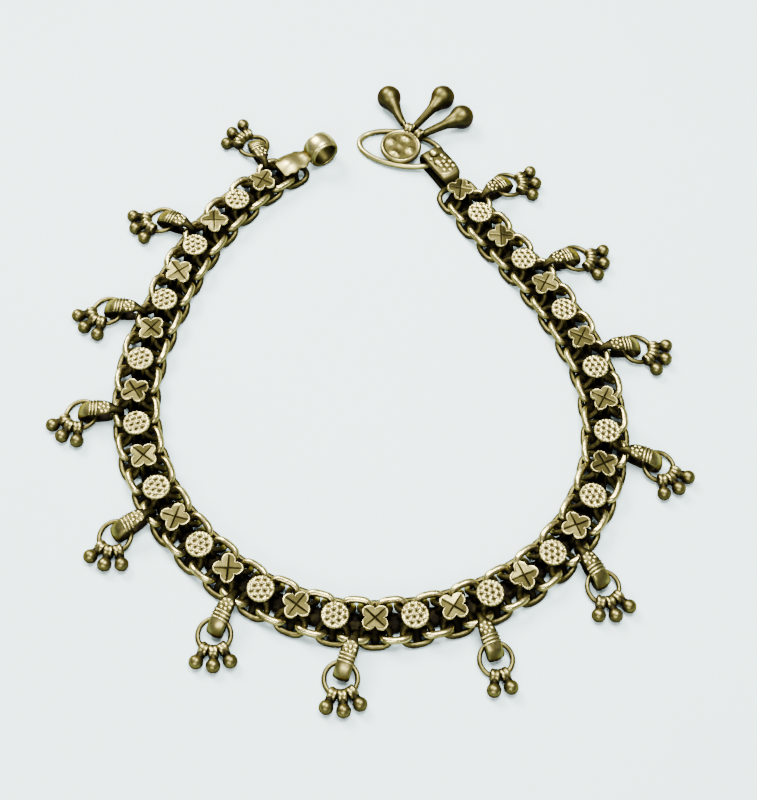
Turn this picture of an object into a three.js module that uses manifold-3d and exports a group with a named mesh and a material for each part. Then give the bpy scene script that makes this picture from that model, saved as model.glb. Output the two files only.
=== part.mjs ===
// A payal anklet lying open on a table: a wide chain of round wire links, with a small
// flower or a granulated disc soldered on every second link. Thirteen drops hang from its
// outer edge. One end is a cap with a rolled strap eye, the other a strap bail that holds
// the clasp: an oval wire ring with a round plate and three large balls on stems.
import * as THREE from 'three';
import { mergeVertices } from 'three/addons/utils/BufferGeometryUtils.js';
import Module from 'manifold-3d';

const wasm = await Module();
wasm.setup();

// Driving dimensions, in millimetres
const CHAIN_LENGTH = 230.4; // from the first flower to the last
const PITCH = 6.4; // from one flower or disc to the next
const CLEARANCE = 0.3; // between pieces that move on each other
const SOLDER = 0.1; // how far soldered pieces run into each other

// Links that carry the ornaments: two wire bows, each from the plate down to the table
const BOW_WIRE = 0.84; // wire diameter
const BOW_REACH = 3.9; // from the middle of the chain to a bow's lowest wire
const BOW_INSET = 0.85; // from the bow's end to the middle of the gap between two ornaments
const BOW_ROOT_INSET = 2.25; // from its solder under the plate to the middle of that gap

// Links between them: wide, low in the middle, with a raised arc at each edge
const LINK_WIRE = 0.9; // wire diameter
const LINK_REACH = 3.7; // from the middle of the chain to the crown of an arc
const LINK_CROWN = 2.6; // height of an arc's wire
const LINK_SPREAD = 2.25; // half an arc's length along the chain
const LINK_WAIST = 1.2; // half the distance between the two wires in the middle
const LINK_SHIFT = 0.22; // how far the link is pulled against its soldered neighbour

// Ornaments
const PLATE_BOTTOM = 3.3; // height of the plates' undersides
const PLATE_THICKNESS = 0.9;
const DISC_DIAMETER = 4.6;
const FLOWER_TIP = 2.75; // from the flower's middle to a petal's tip
const FLOWER_NOTCH = 1.75; // from the middle to the notch between two petals
const FLOWER_LOBE = 0.26; // half the angle of a petal's blunt tip, in radians

// Drops: a strap bail, a wire ring and balls on beads
const DROP_EVERY = 3; // gaps of the chain from one drop to the next
const BAIL_LENGTH = 6.3; // from the link's wire to the bail's outer end
const BAIL_STRAP = 0.5; // strap thickness
const BAIL_WIDTH = 2.7; // at its widest
const BAIL_PLAY = 0.2; // extra room for the link's wire inside the bail's fold
const BAIL_NECK = 0.6; // strap width where it passes between the bows
const RING_DIAMETER = 6.2; // outer diameter
const RING_WIRE = 0.85;
const RING_DISTANCE = 6.0; // from the link's wire to the ring's centre
const BALL_DIAMETER = 2.4;
const BALL_DISTANCE = 5.2; // from the ring's centre to a ball's
const BALL_STEP = 31; // degrees between two balls on the ring

// Cap and rolled eye at the left end
const CAP_LENGTH = 6.9;
const CAP_WIDTH = 4.7;
const EYE_DIAMETER = 6.3; // outer diameter of the rolled strap
const EYE_STRAP = 0.8;
const EYE_WIDTH = 4.2;
const EYE_DISTANCE = 7.0; // from the eye's centre to the cap link's centre

// Strap bail at the right end
const END_BAIL_REACH = 11.4; // from the last ornament's centre to the bail's tip
const END_BAIL_ROOT = 2.1; // from the last ornament's centre to the bail's solder
const END_BAIL_STRAP = 0.6;
const END_BAIL_WIDTH = 4.3;

// Clasp
const CLASP_LENGTH = 17.4; // outer length of the oval ring
const CLASP_WIDTH = 9.2; // outer width
const CLASP_WIRE = 1.1;
const CLASP_TURN = 44; // degrees from the chain's end direction to the ring's long axis
const CLASP_GRIP = 2.35; // from the bail's tip to the ring's wire inside it
const CLASP_SLIDE = 29; // degrees round the oval from its end to where the bail holds it
const LARGE_BALL_DIAMETER = 4.7;
const STEM_DIAMETER = 1.3;
const STEM_LENGTH = 7.3; // of the longest one

// Middle line of the chain on the table, from the eye to the tip of the end bail
const ROUTE = [
  [-11.8, 49.2], [-18.7, 46.3], [-31.0, 32.7], [-38.0, 15.0], [-40.9, -4.0], [-35.0, -22.3],
  [-22.0, -35.9], [-4.7, -43.0], [14.2, -40.8], [30.8, -30.5], [40.0, -13.4], [39.2, 5.2],
  [30.3, 22.8], [20.0, 35.4], [14.2, 43.2], [7.7, 52.7],
];

// How each drop lies: swing of its bail and of its row of balls from square to the chain,
// in degrees towards the right end, and its number of balls
const DROPS = [
  { swing: -16, fan: 18, balls: 3 },
  { swing: 1, fan: 55, balls: 3 },
  { swing: 6, fan: 62, balls: 3 },
  { swing: -10, fan: 50, balls: 3 },
  { swing: -3, fan: 43, balls: 3 },
  { swing: 7, fan: 34, balls: 3 },
  { swing: -16, fan: 9, balls: 3 },
  { swing: 1, fan: -12, balls: 2 },
  { swing: -16, fan: -32, balls: 3 },
  { swing: -7, fan: -46, balls: 3 },
  { swing: -8, fan: -42, balls: 3 },
  { swing: -8, fan: -48, balls: 3 },
  { swing: 8, fan: -30, balls: 3 },
];

// The three large balls: degrees round the clasp's plate and from its radius, and the share
// that each stem has of the longest one's length
const LARGE_BALLS = [
  { place: 99, lean: 28, stem: 0.67 },
  { place: 72, lean: -3, stem: 1 },
  { place: 45, lean: 1, stem: 0.9 },
];

// Sides of round wire, and of round beads, discs and barrels
const WIRE_SIDES = 5;
const ROUND_SIDES = 10;
const BARREL_SIDES = 14;

const silver = new THREE.MeshStandardMaterial({ color: 0x9c9268, roughness: 0.42, metalness: 0.9 });
const darkSilver = new THREE.MeshStandardMaterial({ color: 0x7f774f, roughness: 0.5, metalness: 0.9 });

// Joining and cutting
function solid(geometry) {
  const bare = new THREE.BufferGeometry();
  bare.setAttribute('position', geometry.getAttribute('position'));
  bare.setIndex(geometry.getIndex());
  const merged = mergeVertices(bare, 1e-4);
  return new wasm.Manifold(new wasm.Mesh({
    numProp: 3,
    vertProperties: new Float32Array(merged.getAttribute('position').array),
    triVerts: new Uint32Array(merged.getIndex().array),
  }));
}

function join(solids) {
  return solids.reduce((whole, piece) => whole.add(piece));
}

function geometryOf(manifold) {
  const mesh = manifold.getMesh();
  const geometry = new THREE.BufferGeometry();
  const positions = new Float32Array(mesh.vertProperties);
  geometry.setAttribute('position', new THREE.BufferAttribute(positions, 3));
  geometry.setIndex(new THREE.BufferAttribute(new Uint32Array(mesh.triVerts), 1));
  geometry.computeVertexNormals();
  return geometry;
}

// A closed surface from rings of points: the rings join to a loop, or have flat end caps
function skin(rings, closed) {
  const sides = rings[0].length;
  const positions = rings.flat().flatMap((point) => point.toArray());
  const triangles = [];
  const last = closed ? rings.length : rings.length - 1;
  for (let r = 0; r < last; r += 1) {
    const next = (r + 1) % rings.length;
    for (let s = 0; s < sides; s += 1) {
      const t = (s + 1) % sides;
      triangles.push(r * sides + s, next * sides + t, next * sides + s);
      triangles.push(r * sides + s, r * sides + t, next * sides + t);
    }
  }
  if (!closed) {
    const end = (rings.length - 1) * sides;
    for (let s = 1; s < sides - 1; s += 1) {
      triangles.push(0, s + 1, s);
      triangles.push(end, end + s, end + s + 1);
    }
  }
  const geometry = new THREE.BufferGeometry();
  geometry.setAttribute('position', new THREE.Float32BufferAttribute(positions, 3));
  geometry.setIndex(triangles);
  return geometry;
}

// Round wire through the points: each ring of the surface stands square to the wire
function wire(points, diameter, closed, sides = WIRE_SIDES) {
  const middle = points.reduce((sum, p) => sum.add(p), new THREE.Vector3());
  middle.divideScalar(points.length);
  const count = points.length;
  const rings = points.map((point, i) => {
    // The end of an open wire is cut parallel to the ring next to it
    const k = closed ? i : THREE.MathUtils.clamp(i, 1, count - 2);
    const along = points[(k + 1) % count].clone().sub(points[(k + count - 1) % count]).normalize();
    const out = points[k].clone().sub(middle);
    out.addScaledVector(along, -out.dot(along)).normalize();
    const side = along.clone().cross(out);
    return Array.from({ length: sides }, (_, k) => {
      const turn = (k / sides) * 2 * Math.PI;
      return point.clone()
        .addScaledVector(out, Math.cos(turn) * diameter / 2)
        .addScaledVector(side, Math.sin(turn) * diameter / 2);
    });
  });
  return solid(skin(rings, closed));
}

// A flat strap through [x, z, width] stations in the XZ plane, closed to a loop
function strapLoop(stations, thickness) {
  const count = stations.length;
  const rings = stations.map(([x, z, width], i) => {
    const before = stations[(i + count - 1) % count];
    const after = stations[(i + 1) % count];
    const along = new THREE.Vector2(after[0] - before[0], after[1] - before[1]).normalize();
    const normal = new THREE.Vector2(-along.y, along.x).multiplyScalar(thickness / 2);
    return [
      new THREE.Vector3(x - normal.x, -width / 2, z - normal.y),
      new THREE.Vector3(x - normal.x, width / 2, z - normal.y),
      new THREE.Vector3(x + normal.x, width / 2, z + normal.y),
      new THREE.Vector3(x + normal.x, -width / 2, z + normal.y),
    ];
  });
  return solid(skin(rings, true));
}

// A turned shape along an axis from one point towards another: [distance, radius] stations
function turned(from, towards, profile, sides) {
  const lathe = new THREE.LatheGeometry(profile.map(([d, r]) => new THREE.Vector2(r, d)), sides);
  const axis = towards.clone().sub(from).normalize();
  const up = new THREE.Vector3(0, 1, 0);
  lathe.applyQuaternion(new THREE.Quaternion().setFromUnitVectors(up, axis));
  lathe.translate(from.x, from.y, from.z);
  return solid(lathe);
}

function flatPlate(outline, bottom, thickness) {
  const plate = new THREE.ExtrudeGeometry(new THREE.Shape(outline), {
    depth: thickness,
    bevelEnabled: false,
    curveSegments: 1,
  });
  plate.translate(0, 0, bottom);
  return solid(plate);
}

function ringPoints(radius, count) {
  return Array.from({ length: count }, (_, i) => {
    const turn = ((i + 0.5) / count) * 2 * Math.PI;
    return new THREE.Vector3(radius * Math.cos(turn), radius * Math.sin(turn), 0);
  });
}

// Flowers and discs, and the drops that hang between them
const ornaments = Math.round(CHAIN_LENGTH / PITCH) + 1;
const drops = Math.floor((ornaments - 1) / DROP_EVERY) + 1;
const bowSpread = PITCH / 2 - BOW_INSET;
const bowRoot = PITCH / 2 - BOW_ROOT_INSET;

// The route, scaled so that its length is that of the chain with its two ends
const routeLength = EYE_DISTANCE + ornaments * PITCH + END_BAIL_REACH;
const chosen = new THREE.CatmullRomCurve3(ROUTE.map(([x, y]) => new THREE.Vector3(x, y, 0)));
chosen.arcLengthDivisions = 2000;
const routeScale = routeLength / chosen.getLength();
const route = new THREE.CatmullRomCurve3(
  ROUTE.map(([x, y]) => new THREE.Vector3(x * routeScale, y * routeScale, 0)),
);
route.arcLengthDivisions = 2000;

// Place on the chain, measured from the eye: X runs along the chain and Y points inwards
function frameAt(distance) {
  const share = THREE.MathUtils.clamp(distance / routeLength, 0, 1);
  const along = route.getTangentAt(share);
  const heading = Math.atan2(along.y, along.x);
  return new THREE.Matrix4().makeRotationZ(heading).setPosition(route.getPointAt(share));
}

function ornamentDistance(k) {
  return EYE_DISTANCE + k * PITCH;
}

function mesh(name, manifold, material, matrix) {
  const piece = new THREE.Mesh(geometryOf(manifold), material);
  piece.name = name;
  if (matrix) {
    matrix.decompose(piece.position, piece.quaternion, piece.scale);
  }
  return piece;
}

// One bow of an ornament's link: side is 1 for the inner edge, -1 for the outer one
function bow(side) {
  const knee = { y: BOW_REACH * 0.64, z: PLATE_BOTTOM * 0.42 };
  const root = { y: BOW_REACH * 0.21, z: PLATE_BOTTOM + BOW_WIRE * 0.5 };
  const points = [
    [-bowRoot, root.y, root.z],
    [-bowSpread, knee.y, knee.z],
    [0, BOW_REACH, BOW_WIRE / 2],
    [bowSpread, knee.y, knee.z],
    [bowRoot, root.y, root.z],
  ];
  return wire(points.map(([x, y, z]) => new THREE.Vector3(x, y * side, z)), BOW_WIRE, false);
}

// The wide link between two ornaments, around its own centre
function connectingLink() {
  const low = LINK_WIRE / 2;
  const end = [
    [LINK_WAIST, LINK_REACH * 0.28, low * 1.1],
    [LINK_SPREAD, LINK_REACH * 0.77, LINK_CROWN * 0.79],
    [0, LINK_REACH, LINK_CROWN],
    [-LINK_SPREAD, LINK_REACH * 0.77, LINK_CROWN * 0.79],
    [-LINK_WAIST, LINK_REACH * 0.28, low * 1.1],
  ];
  const points = [...end, ...end.map(([x, y, z]) => [-x, -y, z])];
  return wire(points.map(([x, y, z]) => new THREE.Vector3(x, y, z)), LINK_WIRE, true);
}

function discOutline() {
  return Array.from({ length: ROUND_SIDES }, (_, i) => {
    const turn = (i / ROUND_SIDES) * 2 * Math.PI;
    return new THREE.Vector2(Math.cos(turn), Math.sin(turn)).multiplyScalar(DISC_DIAMETER / 2);
  });
}

// Four blunt petals, diagonal to the chain
function flowerOutline() {
  return [0, 1, 2, 3].flatMap((petal) => {
    const tip = (petal + 0.5) * Math.PI / 2;
    return [
      [tip - Math.PI / 4, FLOWER_NOTCH],
      [tip - FLOWER_LOBE, FLOWER_TIP],
      [tip + FLOWER_LOBE, FLOWER_TIP],
    ].map(([turn, radius]) => new THREE.Vector2(Math.cos(turn), Math.sin(turn)).multiplyScalar(radius));
  });
}

// A unit of the chain: plate, two bows and the connecting link that follows, soldered to one
function chainUnit(k, plate) {
  const here = frameAt(ornamentDistance(k));
  const pieces = [plate, bow(1), bow(-1)];
  if (k < ornaments) {
    const gap = frameAt(ornamentDistance(k + 0.5));
    const local = here.clone().invert().multiply(gap);
    local.multiply(new THREE.Matrix4().makeTranslation(LINK_SHIFT, 0, 0));
    const link = geometryOf(connectingLink());
    link.applyMatrix4(local);
    pieces.push(solid(link));
  }
  return { pieces, here };
}

function ornamentUnit(k) {
  const outline = k % 2 === 1 ? flowerOutline() : discOutline();
  const plate = flatPlate(outline, PLATE_BOTTOM, PLATE_THICKNESS);
  const { pieces, here } = chainUnit(k, plate);
  const kind = k % 2 === 1 ? 'flower' : 'disc';
  return mesh(`${kind}_link_${String(k).padStart(2, '0')}`, join(pieces), silver, here);
}

// Left end: an oblong cap on its own bows, with the strap rolled to an eye beyond it
function endCap() {
  const back = CAP_LENGTH - CAP_WIDTH / 2;
  const half = CAP_WIDTH / 2;
  const outline = [
    [-back, -half * 0.72], [-back + half * 0.5, -half], [half * 0.5, -half], [half, -half * 0.45],
    [half, half * 0.45], [half * 0.5, half], [-back + half * 0.5, half], [-back, half * 0.72],
  ].map(([x, y]) => new THREE.Vector2(x, y));
  const plate = flatPlate(outline, PLATE_BOTTOM, PLATE_THICKNESS);
  const { pieces, here } = chainUnit(0, plate);
  const outer = EYE_DIAMETER / 2;
  const inner = outer - EYE_STRAP;
  const barrel = new THREE.LatheGeometry([
    new THREE.Vector2(inner, -EYE_WIDTH / 2),
    new THREE.Vector2(outer, -EYE_WIDTH / 2),
    new THREE.Vector2(outer, EYE_WIDTH / 2),
    new THREE.Vector2(inner, EYE_WIDTH / 2),
    new THREE.Vector2(inner, -EYE_WIDTH / 2),
  ], BARREL_SIDES);
  barrel.rotateY(Math.PI / BARREL_SIDES);
  barrel.translate(-EYE_DISTANCE, 0, outer * Math.cos(Math.PI / BARREL_SIDES));
  return mesh('end_cap', join([...pieces, solid(barrel)]), silver, here);
}

// Right end: the last flower with a strap bail soldered under its edge
function endBail() {
  const plate = flatPlate(flowerOutline(), PLATE_BOTTOM, PLATE_THICKNESS);
  const { pieces, here } = chainUnit(ornaments, plate);
  const top = PLATE_BOTTOM + PLATE_THICKNESS;
  const bottom = END_BAIL_STRAP / 2;
  const tip = END_BAIL_REACH - END_BAIL_STRAP / 2;
  const wide = END_BAIL_WIDTH;
  const along = (share) => THREE.MathUtils.lerp(END_BAIL_ROOT, tip, share);
  const strap = strapLoop([
    [along(0), PLATE_BOTTOM * 0.55, wide * 0.6],
    [along(0), PLATE_BOTTOM + END_BAIL_STRAP, wide * 0.6],
    [along(0.13), top, wide],
    [along(0.47), top * 0.95, wide],
    [along(0.945), top * 0.81, wide * 0.92],
    [along(1), top * 0.5, wide * 0.9],
    [along(0.978), top * 0.19, wide * 0.9],
    [along(0.911), bottom, wide * 0.9],
    [along(0.178), bottom, wide * 0.8],
  ], END_BAIL_STRAP);
  return mesh('end_bail', join([...pieces, strap]), silver, here);
}

// One drop around the raised arc of its link: X points out along the bail, Z up
function drop(index, { swing, fan, balls }) {
  const half = BAIL_STRAP / 2;
  const grip = LINK_WIRE / 2 + CLEARANCE + BAIL_PLAY + half;
  const crown = LINK_CROWN;
  const tip = BAIL_LENGTH - half;
  const bail = strapLoop([
    [-grip * 0.9, crown - grip * 0.45, BAIL_NECK],
    [-grip * 0.9, crown + grip * 0.45, BAIL_NECK],
    [0, crown + grip, BAIL_NECK],
    [BAIL_LENGTH * 0.45, crown + grip * 0.95, BAIL_WIDTH],
    [BAIL_LENGTH * 0.88, crown + grip * 0.1, BAIL_WIDTH],
    [tip, crown * 0.5, BAIL_WIDTH * 0.95],
    [BAIL_LENGTH * 0.85, half, BAIL_WIDTH * 0.8],
    [BAIL_LENGTH * 0.3, half, BAIL_WIDTH * 0.6],
    [0, crown - grip, BAIL_NECK],
  ], BAIL_STRAP);

  const ringRadius = (RING_DIAMETER - RING_WIRE) / 2;
  const raised = BAIL_STRAP + RING_WIRE / 2 - SOLDER;
  const tilt = Math.asin((raised - RING_WIRE / 2) / (2 * ringRadius));
  const ringTurn = new THREE.Matrix4().makeRotationY(tilt);
  const ringMiddle = new THREE.Vector3(RING_DISTANCE, 0, (raised + RING_WIRE / 2) / 2);
  const onRing = (p) => p.clone().applyMatrix4(ringTurn).add(ringMiddle);
  const ring = wire(ringPoints(ringRadius, ROUND_SIDES).map(onRing), RING_WIRE, true);

  const strung = Array.from({ length: balls }, (_, b) => {
    const turn = THREE.MathUtils.degToRad(fan - swing + (b - (balls - 1) / 2) * BALL_STEP);
    const ray = new THREE.Vector3(Math.cos(turn), Math.sin(turn), 0);
    const bead = onRing(ray.clone().multiplyScalar(ringRadius));
    const ball = ray.clone().multiplyScalar(BALL_DISTANCE).add(ringMiddle);
    ball.z = BALL_DIAMETER * 0.51;
    const reach = ball.distanceTo(bead);
    return turned(bead, ball, [
      [0, 0],
      [reach - BALL_DIAMETER * 0.24, BALL_DIAMETER * 0.46],
      [reach + BALL_DIAMETER * 0.24, BALL_DIAMETER * 0.46],
      [reach + BALL_DIAMETER / 2, 0],
    ], ROUND_SIDES);
  });

  const gap = frameAt(ornamentDistance(index * DROP_EVERY + 0.5));
  gap.multiply(new THREE.Matrix4().makeTranslation(LINK_SHIFT, -LINK_REACH, 0));
  gap.multiply(new THREE.Matrix4().makeRotationZ(THREE.MathUtils.degToRad(swing - 90)));
  return mesh(`drop_${String(index + 1).padStart(2, '0')}`, join([bail, ring, ...strung]), silver, gap);
}

// Centre and turn of the clasp ring, which passes through the end bail: X points back to it
function claspFrame() {
  const turn = THREE.MathUtils.degToRad(CLASP_TURN);
  const slide = THREE.MathUtils.degToRad(CLASP_SLIDE);
  const along = Math.cos(slide) * (CLASP_LENGTH - CLASP_WIRE) / 2;
  const across = Math.sin(slide) * (CLASP_WIDTH - CLASP_WIRE) / 2;
  const frame = frameAt(routeLength);
  frame.multiply(new THREE.Matrix4().makeTranslation(-CLASP_GRIP, 0, 0));
  frame.multiply(new THREE.Matrix4().makeRotationZ(turn));
  frame.multiply(new THREE.Matrix4().makeTranslation(along, -across, 0));
  return frame.multiply(new THREE.Matrix4().makeRotationZ(Math.PI));
}

// Clasp: oval ring with a round plate soldered across it, and the three stemmed balls
function clasp() {
  const a = (CLASP_LENGTH - CLASP_WIRE) / 2;
  const b = (CLASP_WIDTH - CLASP_WIRE) / 2;
  const low = CLASP_WIRE / 2;
  const high = END_BAIL_STRAP + CLEARANCE + low;
  const level = (x) => THREE.MathUtils.mapLinear(x, -a, a, low, high);
  const oval = ringPoints(1, BARREL_SIDES).map((p) => new THREE.Vector3(p.x * a, p.y * b, level(p.x * a)));
  const radius = (CLASP_WIDTH - CLASP_WIRE) / 2 - SOLDER;
  const plate = new THREE.CylinderGeometry(radius, radius, PLATE_THICKNESS, BARREL_SIDES);
  plate.rotateX(Math.PI / 2);
  const plateMiddle = level(0) + PLATE_THICKNESS / 2 + CLASP_WIRE * 0.3;
  plate.translate(0, 0, plateMiddle);
  const ring = join([wire(oval, CLASP_WIRE, true), solid(plate)]);
  const balls = LARGE_BALLS.map(({ place, lean, stem }, i) => {
    const out = unitVector(place);
    const way = unitVector(place + lean);
    const root = out.multiplyScalar(radius + CLEARANCE + STEM_DIAMETER / 2);
    root.z = plateMiddle + PLATE_THICKNESS / 2 + CLEARANCE;
    const ball = root.clone().addScaledVector(way, stem * STEM_LENGTH + LARGE_BALL_DIAMETER / 2);
    ball.z = LARGE_BALL_DIAMETER / 2;
    return mesh(`clasp_ball_${i + 1}`, stemmedBall(root, ball), darkSilver, claspFrame());
  });
  return [mesh('clasp_ring', ring, silver, claspFrame()), ...balls];
}

function unitVector(degrees) {
  const turn = THREE.MathUtils.degToRad(degrees);
  return new THREE.Vector3(Math.cos(turn), Math.sin(turn), 0);
}

function stemmedBall(root, ball) {
  const reach = ball.distanceTo(root);
  const radius = LARGE_BALL_DIAMETER / 2;
  const thin = STEM_DIAMETER / 2;
  return turned(root, ball, [
    [0, 0],
    [0, thin],
    [reach - radius * 1.3, thin],
    [reach - radius * 0.4, radius * 0.92],
    [reach + radius * 0.4, radius * 0.92],
    [reach + radius, 0],
  ], ROUND_SIDES);
}

const anklet = new THREE.Group();
anklet.add(endCap());
for (let k = 1; k < ornaments; k += 1) {
  anklet.add(ornamentUnit(k));
}
anklet.add(endBail());
for (let index = 0; index < drops; index += 1) {
  const row = Math.round(index / (drops - 1) * (DROPS.length - 1));
  anklet.add(drop(index, DROPS[row]));
}
anklet.add(...clasp());

// Origin on the table, below the middle of the whole anklet
anklet.updateMatrixWorld(true);
const box = new THREE.Box3().setFromObject(anklet, true);
const middle = box.getCenter(new THREE.Vector3());
anklet.position.set(-middle.x, -middle.y, -box.min.z);

export default anklet;
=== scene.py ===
# %% [markdown]
# # A payal anklet lying open on a table
# A payal is a chain worn round the ankle. This one is old silver: two strands of wire links
# carry a row of stamped flowers and granulated discs, thirteen drops hang from the outer
# strand, and the ends are a rolled eye and an oval clasp with three large balls.
#
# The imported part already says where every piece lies. This lesson reads those places and
# dresses each piece with finer shapes and one finish: silver that is bright where cloth and
# skin rub it, and black wherever they can't reach.
#
# Such a chain could be modelled by hand, link by link, or with array modifiers. Here short
# functions make every shape from points and faces, because a few forms repeat hundreds of
# times, each a little different from the next.

# %% Load the part
import math

import bmesh
import bpy
import numpy as np
from mathutils import Matrix


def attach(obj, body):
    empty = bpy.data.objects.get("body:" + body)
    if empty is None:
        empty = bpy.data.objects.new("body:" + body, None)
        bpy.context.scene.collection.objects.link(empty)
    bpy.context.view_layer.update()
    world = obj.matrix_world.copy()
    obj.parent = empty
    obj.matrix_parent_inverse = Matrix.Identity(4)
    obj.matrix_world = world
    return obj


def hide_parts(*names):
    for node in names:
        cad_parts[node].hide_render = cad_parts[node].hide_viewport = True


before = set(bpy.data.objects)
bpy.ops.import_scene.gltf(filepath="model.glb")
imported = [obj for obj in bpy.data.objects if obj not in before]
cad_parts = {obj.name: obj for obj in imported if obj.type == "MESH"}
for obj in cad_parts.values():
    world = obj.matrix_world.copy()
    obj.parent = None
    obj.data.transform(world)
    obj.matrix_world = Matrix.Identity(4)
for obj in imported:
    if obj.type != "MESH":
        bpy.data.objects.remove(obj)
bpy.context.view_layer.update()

# %% [markdown]
# ## Working in millimetres
# Blender counts in metres, while a link's wire is about one millimetre thick. We think in
# millimetres and multiply once, when a mesh is made. Hand-made links never lie quite alike,
# so a seeded random generator gives each a small turn: the same turns on every run.

# %% Units and chance
MM = 0.001
random = np.random.default_rng(5)
print("one millimetre is", MM, "of Blender's units")

# %% [markdown]
# ## Frames to build in
# A drop is easiest to describe as if it lay at the origin and pointed along X. A 4 by 4
# matrix then carries it to its place. Parenting to empties would do the same, but matrices
# keep each piece one plain mesh that is already where it belongs.

# %% Frames
def place(x, y, heading, z=0.0):
    """Matrix of a frame that stands on the table, with its X along the heading."""
    c, s = math.cos(heading), math.sin(heading)
    return np.array([[c, -s, 0, x], [s, c, 0, y], [0, 0, 1, z], [0, 0, 0, 1.0]])


def turn_y(angle):
    """Matrix that tips a shape about its Y axis; a quarter turn lays its Z along X."""
    c, s = math.cos(angle), math.sin(angle)
    return np.array([[c, 0, s, 0], [0, 1, 0, 0], [-s, 0, c, 0], [0, 0, 0, 1.0]])


def shift(x, y, z):
    """Matrix that moves a shape without turning it."""
    m = np.eye(4)
    m[:3, 3] = (x, y, z)
    return m


def moved(points, matrix):
    """The points as seen from outside the frame."""
    return points @ matrix[:3, :3].T + matrix[:3, 3]


ahead_of_it = moved(np.array([[1.0, 0, 0]]), place(5, 0, math.pi / 2))
print("1 mm ahead, in a frame at x 5 turned left:", ahead_of_it.round(2).tolist())

# %% [markdown]
# ## Bending a line
# A silversmith bends wire round a peg, so its line has no corners. One of Blender's curve
# objects could give that line. We work out the same kind of smooth line ourselves from a few
# points that it has to pass, because the straps also need their width to change smoothly on
# the way.

# %% A smooth line
def smooth(controls, count, closed=False):
    """Points on a smooth curve through the controls."""
    p = np.array(controls, float)
    n = len(p)
    spans = n if closed else n - 1
    t = np.linspace(0, spans, count, endpoint=not closed)
    i = np.minimum(t.astype(int), spans - 1)
    u = (t - i)[:, None]
    pick = (lambda k: p[k % n]) if closed else (lambda k: p[np.clip(k, 0, n - 1)])
    a, b, c, d = pick(i - 1), pick(i), pick(i + 1), pick(i + 2)
    return 0.5 * (2 * b + (c - a) * u + (2 * a - 5 * b + 4 * c - d) * u ** 2
                  + (3 * b - a - 3 * c + d) * u ** 3)


def circle(count):
    """Even steps of angle once round, the last one just before the first."""
    return np.arange(count) / count * 2 * math.pi


print("a bend through three points:", smooth([(0, 0), (1, 1), (2, 0)], 5).round(2).tolist())

# %% [markdown]
# ## Skinning rings
# Wire, strap, dome and turned bead are all rings of points, one after another. One function
# joins any such grid with four-sided faces. Blender's Skin or Screw modifiers could do it,
# but then the tarnish that we store on each point would be lost.

# %% Faces between rings
def grid_faces(rings, sides, closed_rings, closed_sides=True):
    """Four-sided faces between rings of points; both ways can close on themselves."""
    faces = []
    for r in range(rings if closed_rings else rings - 1):
        for s in range(sides if closed_sides else sides - 1):
            a, b = r * sides + s, r * sides + (s + 1) % sides
            q = (r + 1) % rings
            faces.append((a, b, q * sides + (s + 1) % sides, q * sides + s))
    return faces


def end_caps(count, sides):
    """The two many-sided faces that close the first and the last ring."""
    return [tuple(range(sides))[::-1], tuple(range(count - sides, count))]


def closed_dome(points, around):
    """Shape from rings of points, with its first and last ring filled."""
    faces = grid_faces(len(points) // around, around, False)
    return np.array(points), faces + end_caps(len(points), around)


print("three rings of eight points give", len(grid_faces(3, 8, False)), "faces")

# %% [markdown]
# ## Round wire
# Most of the anklet is drawn wire, bent and soldered shut. A curve with a bevel depth would
# look the same. We place a small circle square to the line at each point instead, and carry
# its direction along from one to the next so that the wire never twists.

# %% Directions along a line
def unit_steps(path, closed):
    """Direction of the line at each of its points."""
    if closed:
        along = np.roll(path, -1, 0) - np.roll(path, 1, 0)
    else:
        along = np.gradient(path, axis=0)
    return along / np.linalg.norm(along, axis=1)[:, None]


def path_frames(path, closed):
    """Direction and two square directions at each point, with no sudden twist."""
    along = unit_steps(path, closed)
    if closed:
        normal = np.linalg.svd(path - path.mean(0))[2][2]
        side = np.cross(np.broadcast_to(normal, along.shape), along)
        side /= np.linalg.norm(side, axis=1)[:, None]
    else:
        first = np.cross(along[0], (0, 0, 1.0))
        if np.linalg.norm(first) < 0.1:
            first = np.cross(along[0], (0, 1.0, 0))
        side = [first / np.linalg.norm(first)]
        for t in along[1:]:
            v = side[-1] - t * side[-1].dot(t)
            side.append(v / np.linalg.norm(v))
        side = np.array(side)
    return along, side, np.cross(along, side)


flat_ring = np.stack([np.cos(circle(8)), np.sin(circle(8)), 0 * circle(8)], 1)
print("a flat ring's upright direction:", path_frames(flat_ring, True)[2][0].round(2).tolist())


# %% [markdown]
# With those directions known, a round section is laid square to the line at every point. A
# wire that isn't closed was cut, and its ends were filed. Flat ends would be cheaper, but
# would catch the light in a hard circle, so three smaller rings round each of them off.

# %% Wire
ROUND_END = np.radians([75, 50, 25])  # latitudes of the rings that round off a cut end


def wire(path, radius, sides=12, closed=False):
    """Round wire along the path; an open wire gets round ends."""
    path = np.array(path, float)
    radius = np.broadcast_to(radius, len(path)).astype(float)
    along, side, up = path_frames(path, closed)
    if not closed:
        head = [path[0] - along[0] * radius[0] * math.sin(a) for a in ROUND_END]
        tail = [path[-1] + along[-1] * radius[-1] * math.sin(a) for a in ROUND_END[::-1]]
        radius = np.concatenate([radius[0] * np.cos(ROUND_END), radius,
                                 radius[-1] * np.cos(ROUND_END[::-1])])
        path = np.vstack([head, path, tail])
        side = np.vstack([side[:1]] * 3 + [side] + [side[-1:]] * 3)
        up = np.vstack([up[:1]] * 3 + [up] + [up[-1:]] * 3)
    turn = circle(sides)
    ring = (side[:, None] * np.cos(turn)[None, :, None]
            + up[:, None] * np.sin(turn)[None, :, None])
    points = (path[:, None] + ring * radius[:, None, None]).reshape(-1, 3)
    faces = grid_faces(len(path), sides, closed)
    if not closed:
        faces += end_caps(len(points), sides)
    return points, faces


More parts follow.
